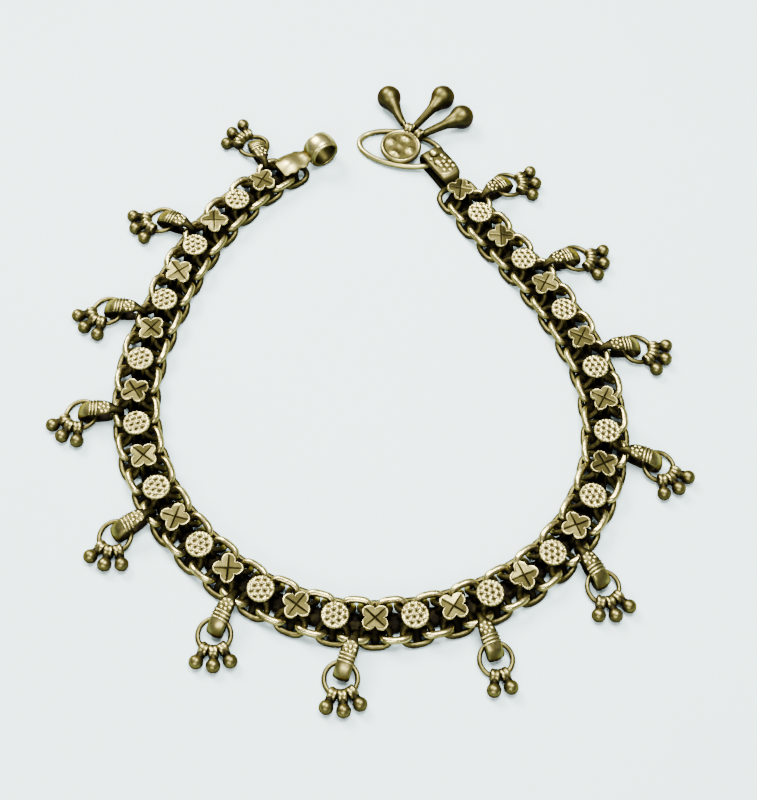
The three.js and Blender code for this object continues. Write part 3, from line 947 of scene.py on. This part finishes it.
petal_angle = circle(FLOWER_SIDES)
off_notch = (petal_angle + QUARTER / 2) % QUARTER - QUARTER / 2  # from the nearest notch
off_petal = QUARTER / 2 - np.abs(off_notch)
outline = (LOBE_AT * np.cos(off_petal)
           + np.sqrt(LOBE_RADIUS ** 2 - (LOBE_AT * np.sin(off_petal)) ** 2))
field = np.floor((petal_angle + QUARTER / 2) / QUARTER).astype(int) % 4
print("flower:", round(2 * float(outline.max()), 2), "mm over the petals,",
      round(2 * float(outline.min()), 2), "mm over the notches")

# %% [markdown]
# Each ring of the flower is its outline drawn smaller. The grooves and the rim could be a
# bump in the material, but the four fields really tilt, and a tilt is what makes one of them
# flash. So all of it is shape, and the tone of each field is drawn by chance.

# %% Flower
FLOWER_RINGS = np.array([0.03, 0.1, 0.22, 0.34, 0.46, 0.58, 0.7, 0.8, 0.88, 0.93, 0.965, 0.99,
                         1.0])
FLOWER_RIM = 0.93  # share of the outline where the bright rim starts
FLOWER_EDGE = ((1.012, 3.75, -0.35), (1.0, 3.5, -0.1), (0.96, 3.32, 0.3))


def add_flower(piece, here, turn):
    """Four-petal flower with grooves, tilted fields and a bright rim."""
    tilt = random.normal(-0.02, 0.1, 4)
    sideways = random.normal(0.0, 0.08, 4)
    tone = random.uniform(0.5, 0.7, 4) - 0.3 * (random.random(4) < 0.15)
    points, grime = [], []
    for q in FLOWER_RINGS:
        r = q * outline
        from_groove = r * np.sin(off_petal)
        outward = r * np.cos(np.abs(off_notch))
        across = r * np.sin(off_notch)
        z = 4.0 + tilt[field] * (outward - 1.0) + sideways[field] * across
        groove = np.exp(-(from_groove / 0.1) ** 2) * np.clip((0.97 - q) / 0.2, 0, 1)
        z = z - 0.14 * groove
        z = z + 0.06 * np.exp(-((q - 0.95) / 0.03) ** 2) - 0.1 * max(0, (q - 0.965) / 0.035) ** 2
        points += flat_round(r, petal_angle, z)
        tarnish = tone[field] * (q < FLOWER_RIM) + 0.45 * groove - 0.1 * (q >= FLOWER_RIM)
        grime += list(np.clip(tarnish, 0, 1))
    for grow, height, dark in FLOWER_EDGE:
        points += flat_round(outline * grow, petal_angle, height)
        grime += [dark] * FLOWER_SIDES
    shape = closed_dome(points, FLOWER_SIDES)
    piece.add(shape, here @ place(0, 0, turn), lambda p: np.array(grime))


print("flower:", len(FLOWER_RINGS) + len(FLOWER_EDGE), "rings of points")

# %% [markdown]
# ## The chain
# Now the units are laid down one by one, in the order of the part's nodes. Links and
# ornament become two objects because they have two finishes, and both replace the same node.
# Discs are turned at random, and flowers by a few degrees, since each was soldered by hand.

# %% Chain
for k in range(1, ORNAMENTS):
    kind = kinds[k - 1]
    node = "%s_link_%02d" % (kind, k)
    strand = Piece()
    add_links(strand, k, unit_frames[k])
    strand.make("links_%02d" % k, node, wire_silver)
    ornament = Piece()
    if kind == "disc":
        add_disc(ornament, unit_frames[k], random.uniform(0, math.pi))
    else:
        add_flower(ornament, unit_frames[k], random.normal(0, 0.25))
    ornament.make("%s_%02d" % (kind, k), node, plate_silver)
print("chain units:", ORNAMENTS - 1, "of", strand.total + ornament.total, "points or so")

# %% [markdown]
# ## A drop's bail
# Each drop hangs by a bail: a narrow strap that hooks over a raised link, swells to a broad
# hollow body and folds back under itself. We draw its side view as stations and let the
# strap function do the rest. It is worn bright on top of its broad end, and painted shade makes
# it black in the fold round the link, between the grains and on its underside.

# %% Bail
BAIL = [(-1.05, 2.0, 1.1), (-1.08, 3.0, 1.1), (-0.1, 3.78, 1.4), (0.9, 3.95, 2.3),
        (2.2, 3.85, 2.75), (3.8, 3.5, 2.65), (5.1, 2.75, 2.75), (5.95, 1.6, 2.7),
        (5.3, 0.62, 2.4), (3.6, 0.55, 2.0), (1.9, 0.55, 1.5), (0.6, 0.95, 1.15),
        (-0.2, 1.45, 1.1)]
BAIL_THICKNESS = 0.5
BAIL_CROWN = 0.28


def bail_tarnish_and_shade(points):
    """Painted shade: dark below, in the fold round the link and between the grains on top."""
    x, z = points[:, 0], points[:, 2]
    below = 0.75 * np.clip((2.2 - z) / 1.8, 0, 1)
    between_grains_shade = 0.32 * np.exp(-((x - 2.1) / 1.9) ** 4)
    return 0.24 + below + between_grains_shade + 0.45 * (x < 0.6)


print("bail:", round(max(x for x, z, w in BAIL) - min(x for x, z, w in BAIL), 2), "mm long")

# %% [markdown]
# On its back the bail has a rosette of eight soldered grains and three raised bands. A bump
# texture could hint at them, but they stand up far enough to throw small shadows, so they
# are real shapes: flattened balls, and short wires that follow the strap's crown.

# %% Grains and bands
ROSETTE_AT = 1.6
BANDS = ((2.9, 4.3, 1.3), (3.5, 4.18, 1.3), (4.05, 3.98, 1.28))  # x, height, half width
BAND_WIRE = 0.4


def granule_shade(points):
    """Painted highlight and shade: bright on top of a grain, black where it meets the metal under
    it.
    """
    z = points[:, 2]
    return 0.02 + 0.95 * np.clip((z.max() - z) / (np.ptp(z) * 0.75), 0, 1) ** 1.3


def add_bail_relief(piece, here):
    """Rosette of grains and three bands on a drop's bail."""
    rosette = [(ROSETTE_AT, 0, 0.5)]
    rosette += [(ROSETTE_AT + 0.8 * math.cos(a), 0.86 * math.sin(a), 0.42)
                for a in circle(7) + 0.3]
    for x, y, size in rosette:
        height = 4.28 - 0.03 * max(0, x - 1.0) - 0.24 * y ** 2
        piece.add(ball((x, y, height), size, 7, 10, 0.75), here, granule_shade)
    for x, height, half in BANDS:
        band = [(x, a * half, height - 0.32 * a ** 2) for a in np.linspace(-1, 1, 9)]
        piece.add(wire(band, BAND_WIRE / 2, 8), here, 0.08)


print("bands:", len(BANDS))

# %% [markdown]
# ## A drop's ring
# A plain wire ring runs through the bail's fold and leans on the table at its far side. A
# torus primitive tilted by hand would do. Its lean is worked out from how much higher the
# bail holds it at the near side, so it neither floats nor cuts into the table.

# %% Ring
RING_MIDDLE = (6.0, 0.0, 0.87)
RING_RADIUS = 2.675
RING_WIRE = 0.85
RING_RISE = 0.86  # how much higher the ring is inside the bail than at its far side
ring_pose = shift(*RING_MIDDLE) @ turn_y(math.asin(RING_RISE / (2 * RING_RADIUS)))


def ring_tarnish_and_shade(points):
    # Darker towards the table: painted shade over the ring's tarnish.
    return 0.38 + 0.2 * np.clip((0.6 - points[:, 2]) / 0.6, 0, 1)


def add_ring(piece, here):
    """Wire ring that leans from the bail down to the table."""
    t = circle(48)
    ring = np.stack([RING_RADIUS * np.cos(t), RING_RADIUS * np.sin(t), 0 * t], 1)
    shape = wire(moved(ring, ring_pose), RING_WIRE / 2, closed=True)
    piece.add(shape, here, ring_tarnish_and_shade)


lean = math.degrees(math.asin(RING_RISE / (2 * RING_RADIUS)))
print("ring:", 2 * RING_RADIUS + RING_WIRE, "mm wide, leaning by", round(lean, 1), "degrees")

# %% [markdown]
# ## Beads and balls
# On the ring hang two or three small balls. Each has a ribbed collar threaded on the wire and
# a short neck. The collar is turned from one list of radii, laid along the wire, and is black
# in its groove. The balls lie on the table and spread like fingers, which is what makes the
# drops look loose and not cast in one.

# %% Bead
BEAD_RIBS = [(0.5, -0.78), (0.85, -0.72), (1.02, -0.52), (1.06, -0.3), (0.98, -0.06),
             (0.98, 0.06), (1.06, 0.3), (1.02, 0.52), (0.85, 0.72), (0.5, 0.78)]


def add_bead(piece, at, way, size, here):
    """Short ribbed collar whose axis lies along the way."""
    shape = lathe([(r * size, h * size) for r, h in BEAD_RIBS], 18)
    pose = place(at[0], at[1], math.atan2(way[1], way[0]), at[2]) @ turn_y(math.pi / 2)

    def bead_tarnish(points):
        return 0.14 + 0.3 * (np.hypot(points[:, 0], points[:, 1]) < 1.0 * size)

    piece.add(shape, here @ pose, bead_tarnish)


print("bead:", 2 * max(r for r, h in BEAD_RIBS), "wide and", 2 * BEAD_RIBS[-1][1], "long")

# %% [markdown]
# Ball and bead are soldered together over a short neck. Left out, it would save little, and
# the ball would seem to float beside its bead. It is a bit of dark wire between the two,
# narrower in the middle.

# %% Ball on a neck
BALL_STEP = 31  # degrees between two balls on the ring
BALL_DISTANCE = 5.2  # from the ring's centre to a ball's
BALL_RADIUS = 1.2
BEAD_SIZE = 1.08
BEAD_LIFT = 0.75


def ball_tarnish_and_shade(points):
    # Darker towards the table: painted shade over the ball's tarnish.
    return 0.35 + 0.3 * np.clip((1.25 - points[:, 2]) / 1.2, 0, 1)


def add_ball_on_neck(piece, here, turn):
    """Bead on the ring with a ball beyond it, in one direction from the ring's centre."""
    ray = np.array((math.cos(turn), math.sin(turn), 0))
    bead = moved((ray * (RING_RADIUS + 0.2))[None], ring_pose)[0] + (0, 0, BEAD_LIFT)
    centre = np.array(RING_MIDDLE) + ray * (BALL_DISTANCE + random.normal(0, 0.05))
    centre[2] = BALL_RADIUS
    add_bead(piece, bead, (-ray[1], ray[0]), BEAD_SIZE, here)
    neck = [bead + (centre - bead) * f for f in (0.2, 0.45, 0.7)]
    piece.add(wire(neck, (0.85, 0.75, 0.8), 10), here, 0.9)
    piece.add(ball(centre, BALL_RADIUS, 14, 20), here, ball_tarnish_and_shade)


print("small balls:", 2 * BALL_RADIUS, "mm")

# %% [markdown]
# ## Thirteen drops
# A drop hangs at every third gap, on the outer strand. Each fell its own way when the anklet
# was laid down. A cloth or rigid body simulation could scatter them, but never into the poses
# of the photograph, so the swing of every bail and of its balls was read off it and is listed
# here in degrees.

# %% Hang the drops
DROP_EVERY = 3
LINK_SHIFT = 0.22  # how far a raised link is pulled along the chain in the part
ARC_REACH = 3.7  # from the chain's middle to a raised link's crown in the part
# swing of the bail, swing of its row of balls, number of balls
DROPS = [
    (-16, 18, 3), (1, 55, 3), (6, 62, 3), (-10, 50, 3), (-3, 43, 3), (7, 34, 3), (-16, 9, 3),
    (1, -12, 2), (-16, -32, 3), (-7, -46, 3), (-8, -42, 3), (-8, -48, 3), (8, -30, 3),
]


def add_drop(index, swing, fan, balls):
    """One drop: bail, ring, beads and balls, made as one object."""
    piece = Piece()
    here = gap_frames[index * DROP_EVERY] @ shift(LINK_SHIFT * 0.5, -ARC_REACH, 0)
    here = here @ place(0, 0, math.radians(swing - 90))
    piece.add(strap(BAIL, BAIL_THICKNESS, BAIL_CROWN), here, bail_tarnish_and_shade)
    add_bail_relief(piece, here)
    add_ring(piece, here)
    for b in range(balls):
        turn = math.radians(fan - swing + (b - (balls - 1) / 2) * BALL_STEP)
        add_ball_on_neck(piece, here, turn)
    piece.make("ball_drop_%02d" % (index + 1), "drop_%02d" % (index + 1), ball_silver)


for index, (swing, fan, balls) in enumerate(DROPS):
    add_drop(index, swing, fan, balls)
print("drops:", len(DROPS), "with", sum(balls for swing, fan, balls in DROPS), "balls")

# %% [markdown]
# ## The cap
# The chain starts with a cap: an oblong of sheet metal soldered over the first links. It is
# lightly waved along its sides, swells softly in two places and narrows towards the eye. The
# photograph is too soft to tell its ornament, so it stays plain. A grid of points is the
# simplest sheet: its width follows a list of rules along its length, and two soft bumps
# raise it. A second, flat grid below closes it to a solid.

# %% Cap
CAP_FROM, CAP_TO = -4.7, 2.35
CAP_HALF = 2.3
CAP_WAVES = 3
CAP_ROWS, CAP_COLUMNS = 25, 37


def cap_half_width(f):
    """Half the cap's width at a share f of its length, from the eye's end."""
    waves = 0.93 + 0.07 * math.cos(2 * math.pi * CAP_WAVES * f)
    return CAP_HALF * waves * min(1.0, 0.72 + 3.2 * (1 - f), 0.58 + 1.3 * f)


def cap_relief(x, y):
    """Height of the two soft swellings, from 0 to 1."""
    large = math.exp(-(((x + 0.1) / 2.1) ** 2 + (y / 1.8) ** 2))
    small = math.exp(-(((x + 3.4) / 1.0) ** 2 + (y / 1.1) ** 2))
    return min(1.0, large + 0.6 * small)


def sheet_rim(rows, columns):
    """Numbers of a grid's outer points, in order round it."""
    rim = list(range(columns)) + [j * columns + columns - 1 for j in range(1, rows)]
    rim += [(rows - 1) * columns + i for i in range(columns - 2, -1, -1)]
    return rim + [j * columns for j in range(rows - 2, 0, -1)]


print("cap width at the eye, the middle and the chain:",
      [round(2 * cap_half_width(f), 2) for f in (0, 0.5, 1)])


# %% [markdown]
# The rules above give the width and the height at every point of the grid. Solidify could
# thicken the sheet, but its underside should be flat, where it sits on the links. A second
# grid at one height and a band round the rim close it.

# %% Cap as a solid sheet
def add_cap(piece, here):
    """Waved oblong with two swellings, flat below."""
    points, grime = [], []
    for v in -1 + 2 * np.arange(CAP_ROWS) / (CAP_ROWS - 1):
        for x in np.linspace(CAP_FROM, CAP_TO, CAP_COLUMNS):
            y = v * cap_half_width((x - CAP_FROM) / (CAP_TO - CAP_FROM))
            relief = cap_relief(x, y)
            points.append((x, y, 3.55 + 0.6 * relief - 0.2 * abs(v) ** 6))
            grime.append(0.5 - 0.5 * relief)
    top = len(points)
    low = [(x, y * 0.97, 3.3) for x, y, z in points]
    faces = grid_faces(CAP_ROWS, CAP_COLUMNS, False, False)
    faces += [tuple(i + top for i in f)[::-1] for f in faces]
    rim = sheet_rim(CAP_ROWS, CAP_COLUMNS)
    faces += [(a, b, b + top, a + top) for a, b in zip(rim, rim[1:] + rim[:1])]
    values = np.array(grime + [0.6] * top)
    piece.add((np.array(points + low), faces), here, lambda p: values)


print("cap:", round(CAP_TO - CAP_FROM, 2), "mm long,", CAP_ROWS * CAP_COLUMNS, "points on top")

# %% [markdown]
# ## The rolled eye
# Beyond the cap a strap is rolled up to an eye, whose hole lies across the chain. The clasp
# hooks into it when the anklet is worn. A cylinder with a hole would have hard edges. The
# strap function rolls the same crowned section as the bails, and a thin lip of wire at each
# side rounds the mouth. Painted shade makes its inside dull; outside it is among the brightest
# places.

# %% Eye
EYE_DISTANCE = 7.0  # from the eye's centre to the cap unit's
EYE_RADIUS = 3.15
EYE_STRAP = 0.8
EYE_WIDTH = 3.2
EYE_CROWN = 0.25
EYE_MIDDLE = EYE_RADIUS - EYE_STRAP / 2 - EYE_CROWN  # radius of the strap's middle line
LIP_WIRE = 0.6


def eye_shade(points):
    # Painted shade inside the eye and towards the table.
    inside = np.hypot(points[:, 0] + EYE_DISTANCE, points[:, 2] - EYE_RADIUS) < EYE_MIDDLE
    return 0.0 + 0.5 * inside + 0.3 * np.clip((2.5 - points[:, 2]) / 2.5, 0, 1)


def lip_shade(points):
    # Painted shade towards the table.
    return 0.35 * np.clip((3.5 - points[:, 2]) / 2.5, 0, 1)


def add_eye(piece, here):
    """Rolled strap with a lip round each side of its hole."""
    stations = [(-EYE_DISTANCE + EYE_MIDDLE * math.cos(a), EYE_RADIUS + EYE_MIDDLE * math.sin(a),
                 EYE_WIDTH) for a in np.radians(np.linspace(350, 0, 40))]
    piece.add(strap(stations, EYE_STRAP, EYE_CROWN, 9, False, 96), here, eye_shade)
    lip_radius = EYE_MIDDLE + 0.1
    for side in (1, -1):
        lip = [(-EYE_DISTANCE + lip_radius * math.cos(a), side * (EYE_WIDTH / 2 - 0.05),
                EYE_RADIUS + lip_radius * math.sin(a)) for a in circle(48)]
        piece.add(wire(lip, LIP_WIRE / 2, 8, True), here, lip_shade)


print("eye:", 2 * EYE_RADIUS, "mm wide, hole", round(2 * (EYE_MIDDLE - EYE_STRAP / 2), 1), "mm")

# %% [markdown]
# The first links, the cap and the eye stand for one node of the part. They become two
# objects, because wire and sheet have different finishes, and both replace that node.

# %% The chain's first end
strand = Piece()
add_links(strand, 0, unit_frames[0])
strand.make("links_00", "end_cap", wire_silver)
cap = Piece()
add_cap(cap, unit_frames[0])
add_eye(cap, unit_frames[0])
cap.make("cap_and_eye", "end_cap", plate_silver)
print("first end:", strand.total + cap.total, "points")

# %% [markdown]
# ## The last flower and the end bail
# At the other end one more flower sits on its links, and a broad strap bail is soldered
# beyond it. It folds round the clasp's wire and comes back underneath. Its back carries a
# few grains of different sizes, a small rosette and a low curved ridge. What the real one
# shows there is blurred, so these are plain grains like those of the drops.

# %% End bail
END_BAIL = [(2.4, 2.1, 2.6), (2.75, 3.0, 2.8), (3.5, 4.0, 3.9), (5.0, 4.2, 4.3), (6.6, 4.0, 4.3),
            (8.6, 3.8, 4.2), (10.3, 3.4, 4.0), (11.05, 2.2, 3.9), (10.8, 0.85, 3.9),
            (10.0, 0.47, 3.9), (7.0, 0.47, 3.6), (3.9, 0.47, 3.3), (2.75, 1.0, 2.8)]
END_BAIL_THICKNESS = 0.6
END_BAIL_CROWN = 0.15
LONE_GRAINS = ((9.3, 0.1, 1.0), (6.9, 0.6, 0.95), (8.0, -0.9, 0.55), (8.3, 1.3, 0.5),
               (7.3, -1.1, 0.45))  # x, y, radius
SMALL_ROSETTE = (5.4, -0.4)
END_RIDGE = [(4.6, 1.7, 4.2), (4.05, 1.0, 4.3), (3.8, 0.0, 4.3), (3.95, -0.9, 4.3),
             (4.2, -1.6, 4.2)]


def end_bail_tarnish_and_shade(points):
    # Darker towards the table: painted shade over the bail's tarnish.
    return 0.42 + 0.6 * np.clip((3.0 - points[:, 2]) / 2.5, 0, 1)


def add_end_bail(piece, here):
    """Broad strap bail with grains, a small rosette and a ridge on its back."""
    shape = strap(END_BAIL, END_BAIL_THICKNESS, END_BAIL_CROWN, 9, True, 96)
    piece.add(shape, here, end_bail_tarnish_and_shade)
    for x, y, size in LONE_GRAINS:
        piece.add(ball((x, y, 4.25), size, 9, 14, 0.75), here, granule_shade)
    rx, ry = SMALL_ROSETTE
    grains = [(rx, ry, 0.68)]
    grains += [(rx + 1.15 * math.cos(k * math.pi / 3), ry + 1.15 * math.sin(k * math.pi / 3), 0.55)
               for k in range(1, 7)]
    for x, y, size in grains:
        piece.add(ball((x, y, 4.42), size, 8, 12, 0.75), here, granule_shade)
    piece.add(wire(smooth(END_RIDGE, 24), 0.34, 10), here, granule_shade)


print("end bail:", max(x for x, z, w in END_BAIL), "mm from the last flower's centre")

# %% [markdown]
# The last end is put together in the same way: links of wire in one object, and the flower
# with its bail in another. The flower is turned a little, as it is on the real chain.

# %% The chain's last end
strand = Piece()
add_links(strand, ORNAMENTS, unit_frames[ORNAMENTS])
strand.make("links_37", "end_bail", wire_silver)
last = Piece()
add_flower(last, unit_frames[ORNAMENTS], 0.1)
add_end_bail(last, unit_frames[ORNAMENTS])
last.make("last_flower_and_bail", "end_bail", plate_silver)
print("last end:", strand.total + last.total, "points")

# %% [markdown]
# ## Where the clasp lies
# The clasp hangs loose in the end bail, turned aside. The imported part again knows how: the
# top of its plate gives the middle, and the longest direction through all its points gives
# the turn. Finding that direction is a job for numpy's singular value decomposition, which
# is quicker than measuring angles on the screen.

# %% Clasp's place
PLATE_THICKNESS = 0.9

ring_points = node_points("clasp_ring")
level = ring_points[:, 2] > ring_points[:, 2].max() - 0.01
plate_xy = ring_points[level][:, :2].mean(0)
spread = ring_points[:, :2] - plate_xy
axis = np.linalg.svd(spread - spread.mean(0), full_matrices=False)[2][0]
if axis @ (centres[-1] - plate_xy) < 0:
    axis = -axis
clasp_turn = math.atan2(axis[1], axis[0])
clasp_here = place(plate_xy[0], plate_xy[1], clasp_turn)
plate_top = ring_points[:, 2].max()
plate_low = plate_top - PLATE_THICKNESS
print("clasp at", plate_xy.round(1), "turned", round(math.degrees(clasp_turn)), "degrees")

# %% [markdown]
# ## The clasp's ring
# An oval of thin bright wire passes through the end bail and lies on the table at its far
# end. A scaled torus would thin its wire on two sides. Sweeping a round section along an
# ellipse keeps it even, and lets the ellipse rise towards the bail.

# %% Clasp ring
CLASP_HALF = (8.15, 4.05)
CLASP_WIRE = 1.1
CLASP_LEVELS = (0.55, 1.45)  # height of the wire's middle at the far end and in the bail


def clasp_wire_tarnish_and_shade(points):
    # One long side of the oval is darker: painted shade.
    return 0.05 + 0.3 * (points[:, 1] > 2.0)


clasp = Piece()
t = circle(72)
x = CLASP_HALF[0] * np.cos(t)
low, high = CLASP_LEVELS
rise = low + (high - low) * (x / CLASP_HALF[0] + 1) / 2
oval = np.stack([x, CLASP_HALF[1] * np.sin(t), rise], 1)
clasp.add(wire(oval, CLASP_WIRE / 2, 14, True), clasp_here, clasp_wire_tarnish_and_shade)
print("clasp ring:", 2 * CLASP_HALF[0] + CLASP_WIRE, "mm long")

# %% [markdown]
# ## The clasp's plate
# A round plate is soldered across the ring. It has a raised rim and a worn flower: four
# petals round a bud. It could be sculpted, but a formula keeps the worn softness. Each
# petal is a bump at a set distance from the middle, a fine vein splits it, and the higher a
# place stands the brighter it is rubbed.

# %% Clasp plate
CLASP_PLATE = 3.95  # radius
PLATE_SIDES = 96
PETALS_AT = 2.1
PETAL_TURN = 0.55
RIM_AT = 3.55
PLATE_RADII = np.concatenate([[0.06], np.linspace(0.2, 3.2, 22), [3.35, 3.5, 3.65, 3.8, 3.93]])
PLATE_EDGE = ((CLASP_PLATE, plate_top - 0.3, 0.1), (3.95, plate_low + 0.1, 0.4),
              (3.8, plate_low, 0.6))


def rosette_relief(r, angle):
    """Relief of the plate at a radius, for every angle round it."""
    petal = (np.exp(-((r - PETALS_AT) / 0.62) ** 2)
             * np.abs(np.cos(2 * angle + PETAL_TURN)) ** 3.5)
    vein = (np.exp(-(r * np.abs(np.sin(2 * angle + PETAL_TURN)) / 0.16) ** 2)
            * (0.8 < r < 2.5))
    bud = 0.3 * math.exp(-(r / 0.5) ** 2)
    rim = math.exp(-((r - RIM_AT) / 0.26) ** 2)
    return np.maximum(petal - 0.2 * vein, max(bud, rim))


def add_clasp_plate(piece, here):
    """Round plate with its rosette; the last rings of its edge are (radius, height, tarnish)."""
    angle = circle(PLATE_SIDES)
    points, grime = [], []
    for r in PLATE_RADII:
        relief = rosette_relief(r, angle)
        dome = 0.05 * math.cos(r / 3.9 * math.pi / 2)
        smear = 0.06 * np.sin(11 * angle) * np.sin(4 * r) * (r < 3.2)
        points += flat_round(r, angle, plate_top - 0.32 + 0.34 * relief + dome)
        grime += list(0.5 - 0.5 * relief + smear)
    for r, z, dark in PLATE_EDGE:
        points += flat_round(r, angle, z)
        grime += [dark] * PLATE_SIDES
    piece.add(closed_dome(points, PLATE_SIDES), here, lambda p: np.array(grime))


add_clasp_plate(clasp, clasp_here)
print("clasp plate:", 2 * CLASP_PLATE, "mm wide")

# %% [markdown]
# Two small barrels stand at the plate's edge and carry the large balls. They are the same
# ribbed beads as on the drops, a little larger, so the function from there is used again.

# %% Barrels on the plate
BARREL_AT = 4.55
BARREL_SIZE = 1.15

for degrees in (52, 84):
    a = math.radians(degrees)
    at = (BARREL_AT * math.cos(a), BARREL_AT * math.sin(a), plate_top - 0.35)
    add_bead(clasp, at, (-math.sin(a), math.cos(a)), BARREL_SIZE, clasp_here)
clasp.make("ring_and_rosette", "clasp_ring", plate_silver)
print("clasp:", clasp.total, "points")

# %% [markdown]
# ## Three large balls
# The clasp ends in three hollow balls on long tapering stems, which lie spread on the table.
# They are duller and more olive than the rest. Each was raised from one sheet, so stem and
# ball flow into each other; a sphere on a cone would leave a crease. One smooth profile turned
# round its axis gives the flow, and a frame that dips from the plate to the table lays it down.

# %% Profile of a pear
LARGE_BALL = 2.35  # radius
STEM_ROOT = 4.9  # from the plate's middle to a stem's root
HOOK_RADIUS = 0.7
HOOK_WIRE = 0.6
# place round the clasp's plate, lean from its radius, and length of each stem
LARGE_BALLS = [(99, 28, 4.9), (72, -3, 7.3), (45, 1, 6.6)]


def pear_shape(reach):
    """Turned stem and ball, the ball's centre at the reach."""
    ends = [(0.0, 0.65), (0.6, 0.72)]
    swell = [(-4.2, 0.95), (-2.9, 1.25), (-1.95, 1.55), (-1.1, 2.05), (-0.4, 2.3), (0.3, 2.32),
             (1.1, 2.05), (1.75, 1.55), (2.2, 0.8), (LARGE_BALL, 0.0)]
    profile = ends + [(reach + d, r) for d, r in swell]
    line = smooth([(d, r, 0) for d, r in profile], 48)
    return lathe([(max(r, 0.0), d) for d, r, _ in line], 28)


def pear_tarnish_and_shade(points):
    # Darker on the side that faces the table: painted shade over the pear's tarnish.
    return 0.5 + 0.2 * np.clip(points[:, 0] / 2.2, 0, 1)


print("a pear of reach 9 mm has", len(pear_shape(9.0)[0]), "points")


# %% [markdown]
# Every stem starts at the plate's edge, where a small wire ring ties it to the barrels. Its
# own angle and length were read off the photograph. They can't be left to chance, because
# the three stems spread like a fan and have to clear each other.

# %% Lay down the pears
def flat_way(degrees):
    """Direction on the table."""
    return np.array((math.cos(math.radians(degrees)), math.sin(math.radians(degrees)), 0))


for i, (at_deg, lean, stem) in enumerate(LARGE_BALLS):
    root = flat_way(at_deg) * STEM_ROOT
    root[2] = plate_top + 0.3
    centre = root + flat_way(at_deg + lean) * (stem + LARGE_BALL)
    centre[2] = LARGE_BALL
    reach = np.linalg.norm(centre - root)
    direction = (centre - root) / reach
    pose = place(root[0], root[1], math.atan2(direction[1], direction[0]), root[2])
    pear = Piece()
    pear.add(pear_shape(reach), clasp_here @ pose @ turn_y(math.acos(direction[2])), pear_tarnish_and_shade)
    hook = [(root[0] + HOOK_RADIUS * math.cos(q) * direction[0],
             root[1] + HOOK_RADIUS * math.cos(q) * direction[1],
             root[2] - 0.1 + HOOK_RADIUS * math.sin(q)) for q in circle(28)]
    pear.add(wire(hook, HOOK_WIRE / 2, 10, True), clasp_here, 0.25)
    pear.make("pear_ball_%d" % (i + 1), "clasp_ball_%d" % (i + 1), ball_silver)
print("large balls:", len(LARGE_BALLS), "of", 2 * LARGE_BALL, "mm")
